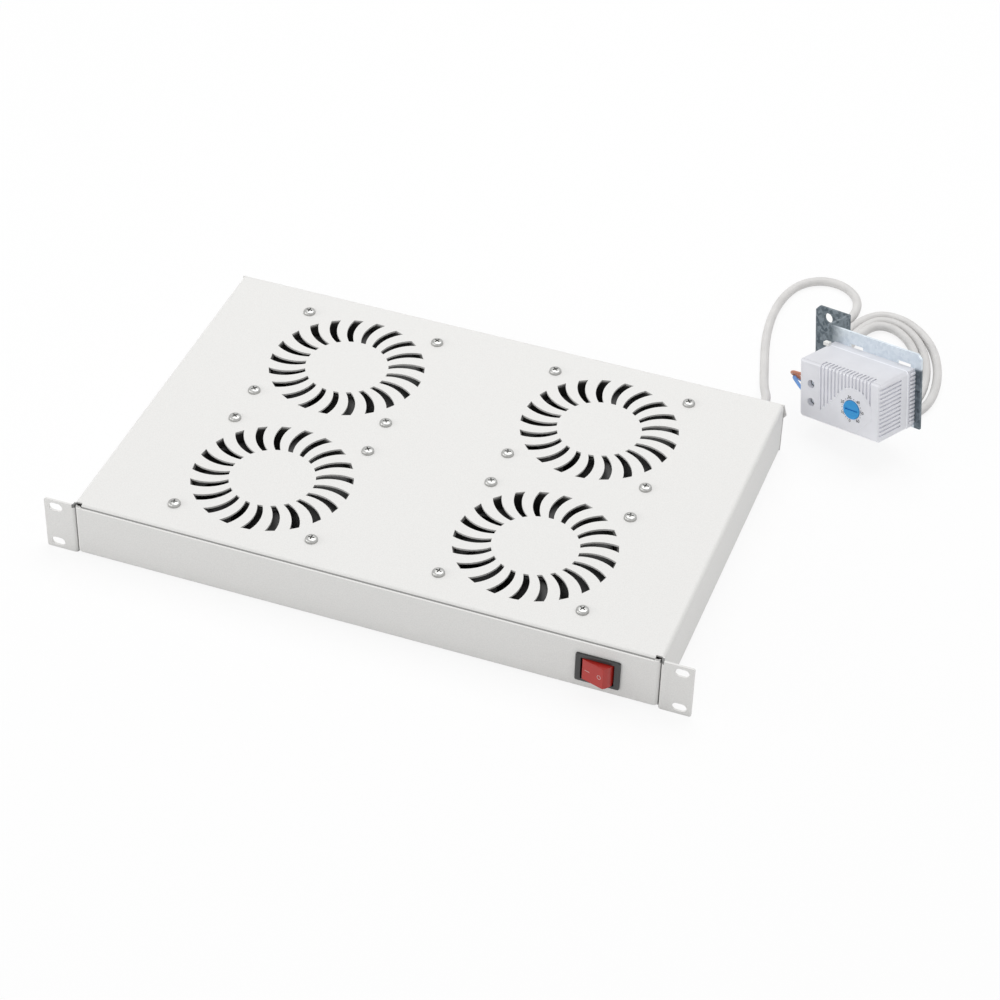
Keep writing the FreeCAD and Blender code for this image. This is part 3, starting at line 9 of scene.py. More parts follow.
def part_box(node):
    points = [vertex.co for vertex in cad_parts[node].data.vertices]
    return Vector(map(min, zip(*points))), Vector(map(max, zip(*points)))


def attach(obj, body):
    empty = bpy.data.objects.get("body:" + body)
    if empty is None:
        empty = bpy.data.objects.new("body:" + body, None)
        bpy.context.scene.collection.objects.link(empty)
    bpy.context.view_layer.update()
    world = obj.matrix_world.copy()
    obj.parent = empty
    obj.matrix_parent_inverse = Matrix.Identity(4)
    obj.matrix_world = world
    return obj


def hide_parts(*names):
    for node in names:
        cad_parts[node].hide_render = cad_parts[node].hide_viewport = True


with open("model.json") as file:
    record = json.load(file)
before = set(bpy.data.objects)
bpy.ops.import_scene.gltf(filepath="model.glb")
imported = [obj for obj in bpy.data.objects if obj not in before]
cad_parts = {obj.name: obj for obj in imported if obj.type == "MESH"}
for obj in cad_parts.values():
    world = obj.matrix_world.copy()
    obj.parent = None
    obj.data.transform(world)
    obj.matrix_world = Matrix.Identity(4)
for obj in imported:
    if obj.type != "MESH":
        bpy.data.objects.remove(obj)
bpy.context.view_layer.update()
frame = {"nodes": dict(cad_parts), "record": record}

# Lengths are in millimetres and angles in degrees, unless a comment says otherwise.
MM = 0.001

# The surface that the tray stands on and the tray's top, in metres from the middle of the rack slots.
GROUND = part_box("tray_shell")[0].z
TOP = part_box("tray_shell")[1].z

# Camera: the point that it is aimed at and its distance, in metres; its direction, elevation and roll; its
# lens and sensor.
AIM = Vector((0.0516, 0.1402, 0.0))
DISTANCE = 2.097
AZIMUTH = 18.876
ELEVATION = 40.155
ROLL = 1.819
LENS = 104.4
SENSOR = 36

# Soft lights, in metres and watts: place, point that the light faces, width, height and power.
LIGHTS = (
    ("overhead", (0.1, 0.9, 2.0), (0.0, 0.15, 0.0), 2.2, 1.6, 26),
    ("front", (-1.2, -1.6, 1.2), (0.0, 0.1, 0.0), 1.6, 1.2, 7),
    ("left", (-1.9, -0.6, 0.6), (0.2, 0.3, 0.0), 1.0, 0.8, 6),
)
WORLD_LIGHT = 0.55
# Floor: its reach each way in metres, how much of its white is seen, and the part that the tray covers, which
# stays dark behind the grilles.
FLOOR_REACH = 6.0
FLOOR_WHITE = 0.86
UNDER_TRAY = ((-216.0, 3.0), (216.0, 295.0))

# The thermostat's lower left front corner above the surface, and its turn, tilt and lean.
CASE_CORNER = Vector((225.0, 324.9, 15.0)) * MM
CASE_YAW = -24.6
CASE_TILT = 11.8
CASE_LEAN = 6.75

# Powder coat: its colour, and strips of it with how bright each one is, between two corners across, back
# and above the tray's top. The strips are painted light: painted shade in the gap along the front's top edge,
# a painted highlight on that edge, and painted shade at its two ends and in the notches beside the ears.
COAT_COLOUR = (0.775, 0.77, 0.755)
COAT_PAINTED_LIGHT_STRIPS = (
    ((-216.0, -0.02, -3.0), (216.0, 0.55, 0.5), 0.42),
    ((-216.0, -1.7, -2.0), (216.0, -0.08, 0.2), 1.16),
    ((206.0, -1.7, -0.8), (217.4, -0.02, 0.2), 0.5),
    ((-217.4, -1.7, -0.8), (-206.0, -0.02, 0.2), 0.5),
    ((216.6, -1.45, -3.0), (219.6, 2.2, 0.5), 0.25),
    ((-219.6, -1.45, -3.0), (-216.6, 2.2, 0.5), 0.25),
)
# Thermostat's case: its colour, the levels between which its roof turns darker with painted shade and how
# dark, and how far back the ridge and groove between cover and base lie, with their tones from front to back:
# plain, a painted highlight on the ridge, and painted shade in the groove.
CASE_COLOUR = (0.84, 0.845, 0.89)
ROOF_SHADE_LEVELS = (46.0, 47.4)
ROOF_PAINTED_SHADE = 0.8
RIDGE_SPAN = (31.0, 35.0)
PLAIN_TONE = (1.0, 1.0, 1.0)
RIDGE_PAINTED_HIGHLIGHT = (1.28, 1.28, 1.28)
GROOVE_PAINTED_SHADE = (0.6, 0.6, 0.62)
# Bracket: its bright plate's rear face, start, far end and rise above the case, in the thermostat's own
# frame, each over the stretch where the painted shade and dark reflection begin.
PLATE_REAR = (43.0, 43.6)
PLATE_START = (-3.0, 9.0)
PLATE_END = (76.6, 77.6)
PLATE_RISE = (46.0, 48.0)
PLATE_TONES = ((0.66, 0.73, 0.79), (0.76, 0.82, 0.87))
# Tones of the painted shade and dark reflection on the tab, its web and the plate's ends.
TAB_SHADE_AND_REFLECTION_TONES = ((0.09, 0.115, 0.135), (0.24, 0.28, 0.31))

# Fans: their middles, how far their screws lie from them each way, and the thickness of the sheet above.
FAN_PLACES = ((-100.0, 78.5), (100.0, 78.5), (-100.0, 218.5), (100.0, 218.5))
SCREW_REACH = 52.5
SHEET = 1.5
# Impeller, measured from the sheet's lower face: its hub, and the hub's rounded rim, in and down.
HUB_RADIUS = 31.0
HUB_TOP = 2.0
HUB_LENGTH = 26.0
HUB_WALL = 2.2
HUB_RIM = ((2.5, 0.0), (1.0, 0.4), (0.3, 1.2), (0.0, 2.6))
HUB_SIDES = 72
# Blades: the first one's angle and the lean from root to tip, in radians; how deep the root sits in the hub;
# pitch and chord at the root and what they lose and gain by the tip; the bow and the thinning of the edges.
BLADE_COUNT = 7
BLADE_REST = 0.3
BLADE_LEAN = 0.22
BLADE_ROOT = 0.8
BLADE_TIP = 55.8
BLADE_LEVEL = -15.6
BLADE_PITCH = 44.0
BLADE_TWIST = 19.0
BLADE_CHORD = 34.0
BLADE_SPREAD = 19.0
BLADE_BOW = 0.09
BLADE_THICKNESS = 1.6
BLADE_THINNING = 0.75
BLADE_ROWS = 8
BLADE_COLUMNS = 12

# Screws: head, its height, thread and its length.
FAN_SCREW = (9.3, 2.7, 4.0, 10.0)
INLET_SCREW = (5.6, 2.0, 3.0, 10.0)
TERMINAL_SCREW = (6.2, 1.8, 3.0, 6.0)
# Their shape, in shares of the head's radius and height: the rounded head, out and up, and the cross recess;
# and the thread's pitch, root and point, in shares of its width.
HEAD_PROFILE = ((0.45, 0.985), (0.72, 0.9), (0.88, 0.74), (0.97, 0.5), (1.0, 0.25), (1.0, 0.0))
HEAD_SIDES = 40
RECESS_REACH = 0.5
RECESS_HALF = 0.115
RECESS_FLOOR = 0.35
RECESS_TURN = 20.0
THREAD_PITCH = 0.175
THREAD_ROOT = 0.84
THREAD_POINT = 0.7
# How far each screw is turned from the one before, and the angle from which its edges are sharp.
SCREW_TURN = 37.0
SCREW_EDGE = 30.0
# The mains inlet's screws, across from its middle, on its outer face; the terminal screws in the
# thermostat's own frame, across and up, and how far back they sit.
INLET_REACH = 20.0
INLET_FACE = 301.5
TERMINAL_PLACES = ((11.4, 29.3), (11.4, 14.4))
TERMINAL_SEAT = 5.4

# Rocker: its pivot from the ground up, the turn that it rests at, and its flat face in front of the pivot.
ROCKER_PIVOT = (174.0, 1.1, 20.2)
ROCKER_REST = -17.0
ROCKER_FLAT = 7.9
# Its marks, how far they sink into the face and stand out of it: a bar with round ends and an oval ring.
MARK_SUNK = 0.1
MARK_PROUD = 0.06
BAR_PLACE = -4.4
BAR_REACH = 1.7
BAR_HALF = 0.25
RING_PLACE = 5.3
RING_INSIDE = (1.2, 1.4)
RING_OUTSIDE = (1.6, 1.8)
RING_STEPS = 40

# Dial in the thermostat's own frame, across and up, a level before the cover, and the scale round the dial.
DIAL_PLACE = (50.6, 20.2)
BEFORE_COVER = -20.0
SCALE_RADIUS = 9.7
SCALE_START = -170.0
SCALE_STEP = 52.0
SCALE_NUMBERS = ("0", "10", "20", "30", "40", "50", "60")
NUMBER_HEIGHT = 2.3
CAPITAL_SHARE = 0.7
INK_HEIGHT = 0.08
INK_SPREAD = 0.03
# Dots between two numbers: their circle, their radii in order and their sides.
DOT_RADIUS = 9.1
DOT_SIZES = (0.27, 0.35, 0.27)
DOT_SIDES = 12
# Raised border on the cover's face: a slope up to an arch round the dial, and a corner cut beyond it; its
# section, to the side and back.
BORDER_START = (21.0, 10.7)
BORDER_ARCH = (52.4, 20.2)
BORDER_RADIUS = 17.2
BORDER_FROM = 160.0
BORDER_TO = -10.0
BORDER_STEPS = 34
BORDER_END = ((67.2, 15.0), (55.2, 3.3))
BORDER_SECTION = ((-0.45, 0.2), (-0.3, -0.12), (-0.1, -0.24), (0.1, -0.24), (0.3, -0.12), (0.45, 0.2))
# Teeth on the base's right end: their first level, pitch, width and reach back, how far they stand out and
# sink in, and the slope and chamfer at their ends.
CASE_END = 77.0
TEETH = 13
TOOTH_FIRST = 4.6
TOOTH_PITCH = 3.3
TOOTH_WIDTH = 1.7
TOOTH_SPAN = (35.4, 40.8)
TOOTH_PROUD = 0.7
TOOTH_SUNK = 0.3
TOOTH_SLOPE = 0.8
TOOTH_CHAMFER = 0.2

CORD_RADIUS = 3.5 * MM
CORE_RADIUS = 1.3 * MM

# The cord's route from the gland: out from the right side wall, back from the rear face and up from the
# surface.
SIDE_WALL = 219.0
REAR_FACE = 298.5
LEAD_ROUTE = (
    (-20.5, 10.0, 20.0),
    (-20.5, 30.0, 20.0),
    (-26.5, 48.0, 11.5),
    (-32.7, 68.0, 4.6),
    (-38.7, 91.0, 3.6),
    (-45.0, 114.0, 3.6),
    (-49.4, 137.5, 3.6),
    (-51.4, 162.5, 3.6),
    (-49.0, 187.0, 3.6),
    (-41.0, 206.5, 3.6),
    (-26.0, 217.5, 3.6),
    (-8.0, 216.5, 3.6),
    (6.0, 204.5, 3.6),
    (10.5, 187.5, 3.6),
    (7.0, 170.5, 3.6),
)
TAIL_ROUTE = (
    (13.5, 89.5, 10.4),
    (10.5, 76.5, 10.9),
    (11.6, 64.1, 9.8),
    (15.3, 57.1, 9.3),
)
# The coil's middle, and then, a quarter turn apart, how far its cord is from the middle and its height: on
# the far side, the left, the near side and the right.
COIL_MIDDLE = (36.0, 101.5)
COIL_QUARTERS = (
    (79.0, 3.6), (41.5, 3.6), (55.0, 3.6), (58.2, 3.6),
    (90.5, 3.6), (34.5, 3.6), (47.5, 3.6), (49.0, 3.8),
    (83.0, 3.6), (27.0, 3.6), (30.0, 3.6), (41.5, 3.6),
    (75.0, 4.0), (21.5, 8.6),
)
COIL_START = 60.0
COIL_STEPS = 14
# Conductors in the thermostat's own frame: across, back and up.
BROWN_ROUTE = (
    (-4.5, 32.1, 0.3),
    (-7.0, 30.5, 6.2),
    (-12.0, 26.6, 13.0),
    (-17.4, 20.8, 19.0),
    (-20.2, 15.0, 24.0),
    (-16.0, 11.2, 27.6),
    (-8.0, 9.5, 28.9),
    (1.0, 9.5, 29.3),
)
BLUE_ROUTE = (
    (-7.4, 32.2, 0.3),
    (-9.3, 30.8, 5.0),
    (-12.9, 27.6, 11.0),
    (-17.8, 22.5, 16.8),
    (-19.6, 16.5, 20.8),
    (-14.5, 12.4, 21.2),
    (-8.0, 10.0, 18.6),
    (-3.0, 9.5, 15.2),
    (1.0, 9.5, 14.4),
)


def case_matrix():
    """From the thermostat's own frame to the tray's."""
    turn = Matrix.Rotation(math.radians(CASE_YAW), 3, "Z")
    forward = turn @ Vector((0, -1, 0))
    tilt = Matrix.Rotation(math.radians(CASE_TILT), 3, forward)
    raised = tilt @ turn @ Vector((1, 0, 0))
    lean = Matrix.Rotation(math.radians(-CASE_LEAN), 3, raised)
    place = Matrix.Translation(CASE_CORNER + Vector((0, 0, GROUND)))
    return place @ (lean @ tilt @ turn).to_4x4()


CASE = case_matrix()


def in_case(across, back, up):
    """A place given in the thermostat's own frame."""
    return CASE @ (Vector((across, back, up)) * MM)


# Materials.


class Shader:
    """A node material that is put together one node at a time."""

    def __init__(self, name):
        self.material = bpy.data.materials.new(name)
        self.material.use_nodes = True
        self.tree = self.material.node_tree
        self.surface = self.tree.nodes["Principled BSDF"]

    def set(self, **values):
        for name, value in values.items():
            self.surface.inputs[name.replace("_", " ")].default_value = value
        return self

    def node(self, kind, **values):
        item = self.tree.nodes.new(kind)
        for name, value in values.items():
            setattr(item, name, value)
        return item

    def link(self, source, target):
        self.tree.links.new(source, target)

    def place(self):
        """The place in metres, in the same frame for every piece."""
        return self.node("ShaderNodeTexCoord").outputs["Object"]

    def noise(self, scale, detail):
        item = self.node("ShaderNodeTexNoise")
        item.inputs["Scale"].default_value = scale
        item.inputs["Detail"].default_value = detail
        self.link(self.place(), item.inputs["Vector"])
        return item.outputs["Fac"]

    def ramp(self, source, stops):
        item = self.node("ShaderNodeValToRGB")
        elements = item.color_ramp.elements
        while len(elements) < len(stops):
            elements.new(0.5)
        for element, (place, colour) in zip(elements, stops):
            element.position = place
            element.color = (*colour, 1)
        self.link(source, item.inputs["Fac"])
        return item.outputs["Color"]

    def mottled(self, source, colour, dark, bright):
        """A colour that a pattern makes a little darker and brighter."""
        return self.ramp(source, ((0.3, near(colour, dark)), (0.7, near(colour, bright))))

    def levels(self, source, low, high, start=0.0, end=1.0):
        item = self.node("ShaderNodeMapRange")
        item.inputs["From Min"].default_value = start
        item.inputs["From Max"].default_value = end
        item.inputs["To Min"].default_value = low
        item.inputs["To Max"].default_value = high
        self.link(source, item.inputs["Value"])
        return item.outputs["Result"]

    def bump(self, source, distance, strength):
        item = self.node("ShaderNodeBump")
        item.inputs["Distance"].default_value = distance
        item.inputs["Strength"].default_value = strength
        self.link(source, item.inputs["Height"])
        self.link(item.outputs["Normal"], self.surface.inputs["Normal"])

    def combined(self, operation, first, second):
        """One number out of two."""
        item = self.node("ShaderNodeMath", operation=operation)
        self.link(first, item.inputs[0])
        self.link(second, item.inputs[1])
        return item.outputs["Value"]

    def scaled(self, colour, share):
        item = self.node("ShaderNodeVectorMath", operation="SCALE")
        self.link(colour, item.inputs[0])
        self.link(share, item.inputs["Scale"])
        return item.outputs["Vector"]

    def in_box(self, low, high):
        """1 inside a box given by two corners in millimetres, and 0 outside it."""
        low, high = Vector(low) * MM, Vector(high) * MM
        steps = (("SUBTRACT", (low + high) / 2), ("ABSOLUTE", None), ("SUBTRACT", (high - low) / 2))
        value = self.place()
        for operation, second in steps:
            item = self.node("ShaderNodeVectorMath", operation=operation)
            self.link(value, item.inputs[0])
            if second is not None:
                item.inputs[1].default_value = second
            value = item.outputs["Vector"]
        parts = self.node("ShaderNodeSeparateXYZ")
        self.link(value, parts.inputs["Vector"])
        value = parts.outputs["X"]
        for name in ("Y", "Z"):
            value = self.combined("MAXIMUM", value, parts.outputs[name])
        item = self.node("ShaderNodeMath", operation="LESS_THAN")
        item.inputs[1].default_value = 0.0
        self.link(value, item.inputs[0])
        return item.outputs["Value"]

    def case_place(self, axis):
        """Millimetres across (0), back (1) or up (2) in the thermostat's own frame."""
        way = CASE.col[axis].to_3d() / MM
        along = self.node("ShaderNodeVectorMath", operation="DOT_PRODUCT")
        along.inputs[1].default_value = way
        self.link(self.place(), along.inputs[0])
        item = self.node("ShaderNodeMath", operation="SUBTRACT")
        item.inputs[1].default_value = way.dot(CASE.translation)
        self.link(along.outputs["Value"], item.inputs[0])
        return item.outputs["Value"]

    def paint(self, colour):
        self.link(colour, self.surface.inputs["Base Color"])

    def roughness(self, value):
        self.link(value, self.surface.inputs["Roughness"])


def near(colour, share):
    """A brighter or darker tone of a colour."""
    return tuple(min(1.0, part * share) for part in colour)


def powder_coat():
    """Fine-grained matt powder coat in a warm light grey, with painted shade in gaps and inner corners and
    painted light along the front's top edge.
    """
    shader = Shader("powder_coat")
    grain = shader.noise(1500, 2.0)
    tone = shader.mottled(grain, COAT_COLOUR, 0.94, 1.04)
    # Painted shade: ambient occlusion darkens the coat in gaps and inner corners.
    corner = shader.node("ShaderNodeAmbientOcclusion", samples=8)
    corner.inputs["Distance"].default_value = 0.006
    tone = shader.scaled(tone, shader.levels(corner.outputs["AO"], 0.3, 1.0, 0.1, 0.55))
    level = TOP / MM
    # Painted shade in the gap along the front's top edge, at its ends and in the notches, and a painted
    # highlight on that edge.
    for low, high, share in COAT_PAINTED_LIGHT_STRIPS:
        painted_light_strip = shader.in_box((low[0], low[1], level + low[2]), (high[0], high[1], level + high[2]))
        tone = shader.scaled(tone, shader.levels(painted_light_strip, 1.0, share))
    shader.paint(tone)
    shader.roughness(shader.levels(grain, 0.42, 0.55))
    shader.bump(grain, 0.00006, 0.5)
    return shader.material


def plain_plastic(name, colour, rough, grain_scale=900, bump=0.00002):
    """Moulded plastic with a faint grain and uneven gloss."""
    shader = Shader(name)
    grain = shader.noise(grain_scale, 3.0)
    broad = shader.noise(60, 2.0)
    shader.paint(shader.mottled(broad, colour, 0.95, 1.05))
    shader.roughness(shader.levels(grain, rough - 0.06, rough + 0.06))
    shader.bump(grain, bump, 0.6)
    return shader.material


def bare_metal(name, colour, rough):
    """Metal with fine marks and patches of different gloss."""
    shader = Shader(name).set(Metallic=1.0)
    marks = shader.noise(500, 4.0)
    shader.paint(shader.mottled(marks, colour, 0.85, 1.08))
    shader.roughness(shader.levels(marks, rough - 0.08, rough + 0.08))
    shader.bump(marks, 0.00002, 0.5)
    return shader.material


def case_plastic():
    """Light bluish-grey moulding with painted shade on its roof, and a painted highlight and painted shade on
    the ridge and groove where the cover meets its base.
    """
    shader = Shader("case_plastic")
    grain = shader.noise(900, 3.0)
    tone = shader.mottled(shader.noise(60, 2.0), CASE_COLOUR, 0.96, 1.04)
    # Painted shade: the case is darker on its roof, above these levels.
    tone = shader.scaled(tone, shader.levels(shader.case_place(2), 1.0, ROOF_PAINTED_SHADE, *ROOF_SHADE_LEVELS))
    # Painted highlight on the ridge and painted shade in the groove where the cover meets its base.
    ridge = shader.ramp(shader.levels(shader.case_place(1), 0.0, 1.0, *RIDGE_SPAN), (
        (0.0, PLAIN_TONE), (0.25, PLAIN_TONE), (0.3, RIDGE_PAINTED_HIGHLIGHT), (0.5, RIDGE_PAINTED_HIGHLIGHT),
        (0.55, GROOVE_PAINTED_SHADE), (0.65, GROOVE_PAINTED_SHADE), (0.7, PLAIN_TONE)))
    product = shader.node("ShaderNodeVectorMath", operation="MULTIPLY")
    shader.link(tone, product.inputs[0])
    shader.link(ridge, product.inputs[1])
    shader.paint(product.outputs["Vector"])
    shader.roughness(shader.levels(grain, 0.36, 0.48))
    shader.bump(grain, 0.00002, 0.6)
    return shader.material


def galvanised():
    """Galvanised sheet with its crystal pattern; the tab, its web and the plate's two ends get painted shade
    and dark reflection.
    """
    shader = Shader("galvanised").set(Metallic=0.85)
    cells = shader.node("ShaderNodeTexVoronoi")
    cells.inputs["Scale"].default_value = 400
    shader.link(shader.place(), cells.inputs["Vector"])
    tone = shader.node("ShaderNodeSeparateColor")
    shader.link(cells.outputs["Color"], tone.inputs["Color"])
    shade = tone.outputs["Red"]
    plate = shader.ramp(shade, ((0.0, PLATE_TONES[0]), (1.0, PLATE_TONES[1])))
    # Painted shade and dark reflection: the tab, its web and the plate's ends take these dark tones.
    tab = shader.ramp(shade, ((0.0, TAB_SHADE_AND_REFLECTION_TONES[0]), (1.0, TAB_SHADE_AND_REFLECTION_TONES[1])))
    before_rear = shader.levels(shader.case_place(1), 1.0, 0.0, *PLATE_REAR)
    before_end = shader.levels(shader.case_place(0), 1.0, 0.0, *PLATE_END)
    above_case = shader.levels(shader.case_place(2), 0.0, 1.0, *PLATE_RISE)
    past_start = shader.levels(shader.case_place(0), 0.0, 1.0, *PLATE_START)
    bright = shader.combined("MULTIPLY", past_start, shader.combined("MAXIMUM", before_end, above_case))
    bright = shader.combined("MULTIPLY", before_rear, bright)
    mix = shader.node("ShaderNodeMix", data_type="RGBA")
    shader.link(bright, mix.inputs[0])
    shader.link(tab, mix.inputs[6])
    shader.link(plate, mix.inputs[7])
    shader.paint(mix.outputs[2])
    shader.roughness(shader.levels(shade, 0.32, 0.5))
    shader.bump(shader.noise(300, 4.0), 0.00003, 0.4)
    return shader.material


def paint_nodes(materials):
    """One material for each of the record's slots, on every CAD node."""
    by_node = {row["node"]: row["material_slot"] for row in frame["record"]["subparts"]}
    for name, item in frame["nodes"].items():
        material = materials[by_node[name]]
        item.data.materials.clear()
        item.data.materials.append(material)


def make_materials():
    """The record's slots by name, and three finishes of the scene's own pieces."""
    return {
        "steel_powder_coat": powder_coat(),
        "zinc": bare_metal("zinc", (0.45, 0.45, 0.44), 0.3),
        "brass": bare_metal("brass", (0.75, 0.55, 0.22), 0.3),
        "black_plastic": plain_plastic("black_plastic", (0.045, 0.045, 0.045), 0.45),
        "red_plastic": plain_plastic("red_plastic", (0.43, 0.02, 0.014), 0.25, bump=0.00001),
        "grey_plastic": plain_plastic("grey_plastic", (0.42, 0.42, 0.42), 0.5),
        "white_plastic": plain_plastic("white_plastic", (0.8, 0.8, 0.78), 0.45),
        "case_plastic": case_plastic(),
        "blue_plastic": plain_plastic("blue_plastic", (0.035, 0.33, 0.72), 0.35),
        "galvanised": galvanised(),
        "cord_jacket": plain_plastic("cord_jacket", (0.66, 0.65, 0.64), 0.5, 700),
        "brown_insulation": plain_plastic("brown_insulation", (0.5, 0.19, 0.11), 0.35),
        "blue_insulation": plain_plastic("blue_insulation", (0.16, 0.36, 0.78), 0.35),
        "fan_frame_metal": plain_plastic("fan_frame_metal", (0.038, 0.037, 0.035), 0.5),
        "motor_steel": bare_metal("motor_steel", (0.35, 0.35, 0.36), 0.4),
        "bearing_steel": bare_metal("bearing_steel", (0.55, 0.55, 0.56), 0.25),
        "rocker_mark": plain_plastic("rocker_mark", (0.6, 0.42, 0.4), 0.5),
        "scale_ink": plain_plastic("scale_ink", (0.03, 0.03, 0.035), 0.6),
        "bright_screw": bare_metal("bright_screw", (0.9, 0.95, 1.0), 0.55),
    }


# Cords.


def smooth_curve(name, points, radius, material):
    """A round cord along one smooth spline with the given points as its control points."""
    curve = bpy.data.curves.new(name, "CURVE")
    curve.dimensions = "3D"
    spline = curve.splines.new("NURBS")
    spline.points.add(len(points) - 1)
    for point, place in zip(spline.points, points):
        point.co = (*place, 1)
    spline.order_u = 3
    spline.use_endpoint_u = True
    spline.resolution_u = 8
    curve.bevel_depth = radius
    curve.bevel_resolution = 5
    curve.use_fill_caps = True
    curve.materials.append(material)
    item = bpy.data.objects.new(name, curve)
    bpy.context.scene.collection.objects.link(item)
    return item


def from_rear(route):
    """Places in metres from millimetres out from the side wall, back from the rear face and up."""
    corner = Vector((SIDE_WALL * MM, REAR_FACE * MM, GROUND))
    return [corner + Vector(point) * MM for point in route]


def coil_points():
    """The coil's turns, one inside another; each quarter turn has its own reach."""
    points = []
    turn = COIL_START
    while turn < 90.0 * (len(COIL_QUARTERS) - 1):
        index = int(turn // 90)
        share = turn / 90 - index
        first, second = COIL_QUARTERS[index], COIL_QUARTERS[index + 1]
        along, across = (first, second) if index % 2 == 0 else (second, first)
        angle = math.radians(turn + 90)
        share = share * share * (3 - 2 * share)
        points.append((
            COIL_MIDDLE[0] + across[0] * math.cos(angle),
            COIL_MIDDLE[1] + along[0] * math.sin(angle),
            first[1] * (1 - share) + second[1] * share,
        ))
        turn += 360.0 / COIL_STEPS
    return points


def curve_length(item):
    """The length of a curve's own line."""
    bare = item.data.copy()
    bare.bevel_depth = 0
    holder = bpy.data.objects.new("measure", bare)
    line = bpy.data.meshes.new_from_object(holder)
    length = 0.0
    for edge in line.edges:
        first, second = (line.vertices[index].co for index in edge.vertices)
        length += (first - second).length
    bpy.data.objects.remove(holder)
    bpy.data.meshes.remove(line)
    bpy.data.curves.remove(bare)
    return length


def make_cords(materials):
    """The thermostat's cord from the gland through its coil, and the two conductors at its end."""
    route = from_rear(LEAD_ROUTE + tuple(coil_points()) + TAIL_ROUTE)
    cord = smooth_curve("thermostat_cord", route, CORD_RADIUS, materials["cord_jacket"])
    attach(cord, "tray")
    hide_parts("cord_lead", "cord_coil", "cord_tail")
    round(curve_length(cord), 3)
    for node, line, slot in (("wire_brown", BROWN_ROUTE, "brown_insulation"),
                             ("wire_blue", BLUE_ROUTE, "blue_insulation")):
        points = [in_case(*point) for point in line]
        wire = smooth_curve(node + "_run", points, CORE_RADIUS, materials[slot])
        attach(wire, "tray")
        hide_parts(node)
        round(curve_length(wire), 3)


# Pieces.


def material_slot(node):
    """The record's slot for a node."""
    return next(row["material_slot"] for row in frame["record"]["subparts"] if row["node"] == node)


def smooth(mesh, edge_angle):
    """The mesh, shaded smooth except where its faces meet at more than an angle."""
    for face in mesh.polygons:
        face.use_smooth = True
    mesh.set_sharp_from_angle(angle=math.radians(edge_angle))
    return mesh


def to_mesh(name, build, edge_angle=35.0):
    """A mesh from a bmesh, smooth except at its edges."""
    bmesh.ops.remove_doubles(build, verts=build.verts, dist=1e-7)
    bmesh.ops.recalc_face_normals(build, faces=build.faces)
    mesh = bpy.data.meshes.new(name)
    build.to_mesh(mesh)
    build.free()
    return smooth(mesh, edge_angle)


def add_piece(name, mesh, material, body, slot, *nodes):
    """A piece that rides on a body, has the given material and may stand for CAD nodes; its slot is not used.
    """
    mesh.materials.clear()
    mesh.materials.append(material)
    item = bpy.data.objects.new(name, mesh)
    bpy.context.scene.collection.objects.link(item)
    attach(item, body)
    if nodes:
        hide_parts(*nodes)


def revolve(build, profile, steps):
    """A closed surface of revolution about Z from points of radius and height, in millimetres."""
    rings = []
    for radius, height in profile:
        count = steps if radius > 0 else 1
        ring = []
        for index in range(count):
            angle = 2 * math.pi * index / steps
            across, along = radius * math.cos(angle) * MM, radius * math.sin(angle) * MM
            ring.append(build.verts.new((across, along, height * MM)))
        rings.append(ring)
    for lower, upper in zip(rings, rings[1:]):
        for index in range(steps):
            corners = []
            for ring, place in ((lower, index), (lower, index + 1), (upper, index + 1), (upper, index)):
                corner = ring[place % len(ring)]
                if corner not in corners:
                    corners.append(corner)
            if len(corners) > 2:
                build.faces.new(corners)


def band(build, first, second):
    """Faces all round between two rings of vertices."""
    for index in range(len(first)):
        after = (index + 1) % len(first)
        build.faces.new((first[index], first[after], second[after], second[index]))


def solid_between(build, first, second):
    """A closed solid between two flat rings of vertices."""
    build.faces.new(first)
    build.faces.new(second)
    band(build, first, second)


def prism(build, outline, low, high, place=Matrix.Identity(4)):
    """A flat outline in X and Y, in millimetres, raised from one level to another."""
    ends = []
    for level in (low, high):
        ends.append([build.verts.new(place @ (Vector((x, y, level)) * MM)) for x, y in outline])
    solid_between(build, *ends)


def cut_away(mesh, cutters):
    """The mesh with each of the cutters taken out of it."""
    item = bpy.data.objects.new("blank", mesh)
    bpy.context.scene.collection.objects.link(item)
    tools = []
    for index, cutter in enumerate(cutters):
        tool = bpy.data.objects.new("cutter", cutter)
        bpy.context.scene.collection.objects.link(tool)
        tool.hide_render = True
        cut = item.modifiers.new("cut_%d" % index, "BOOLEAN")
        cut.operation = "DIFFERENCE"
        cut.object = tool
        tools.append(tool)
    bpy.context.view_layer.update()
    graph = bpy.context.evaluated_depsgraph_get()
    result = bpy.data.meshes.new_from_object(item.evaluated_get(graph))
    for used in [item] + tools:
        bpy.data.objects.remove(used)
    return result


def pan_screw(head, height, thread, length):
    """A pan-head screw with a cross recess; its head stands on Z = 0 and its thread hangs below."""
    radius, core = head / 2, thread / 2
    profile = [(0, height)] + [(radius * out, height * up) for out, up in HEAD_PROFILE]
    pitch = thread * THREAD_PITCH
    level = 0.0
    while level > -length + pitch:
        for depth, share in ((0.1, 1.0), (0.5, THREAD_ROOT), (0.9, 1.0)):
            profile.append((core * share, level - depth * pitch))
        level -= pitch
    profile += [(core * THREAD_POINT, -length), (0, -length)]
    build = bmesh.new()
    revolve(build, profile, HEAD_SIDES)
    blank = to_mesh("screw", build, SCREW_EDGE)
    arm, half = radius * RECESS_REACH, radius * RECESS_HALF
    cutters = []
    for turn in (0.0, 90.0):
        turned = Matrix.Rotation(math.radians(turn + RECESS_TURN), 2)
        outline = []
        for corner in ((-arm, -half), (arm, -half), (arm, half), (-arm, half)):
            outline.append(tuple(turned @ Vector(corner)))
        build = bmesh.new()
        prism(build, outline, height * RECESS_FLOOR, height + 1.0)
        cutters.append(to_mesh("recess", build))
    return cut_away(blank, cutters)


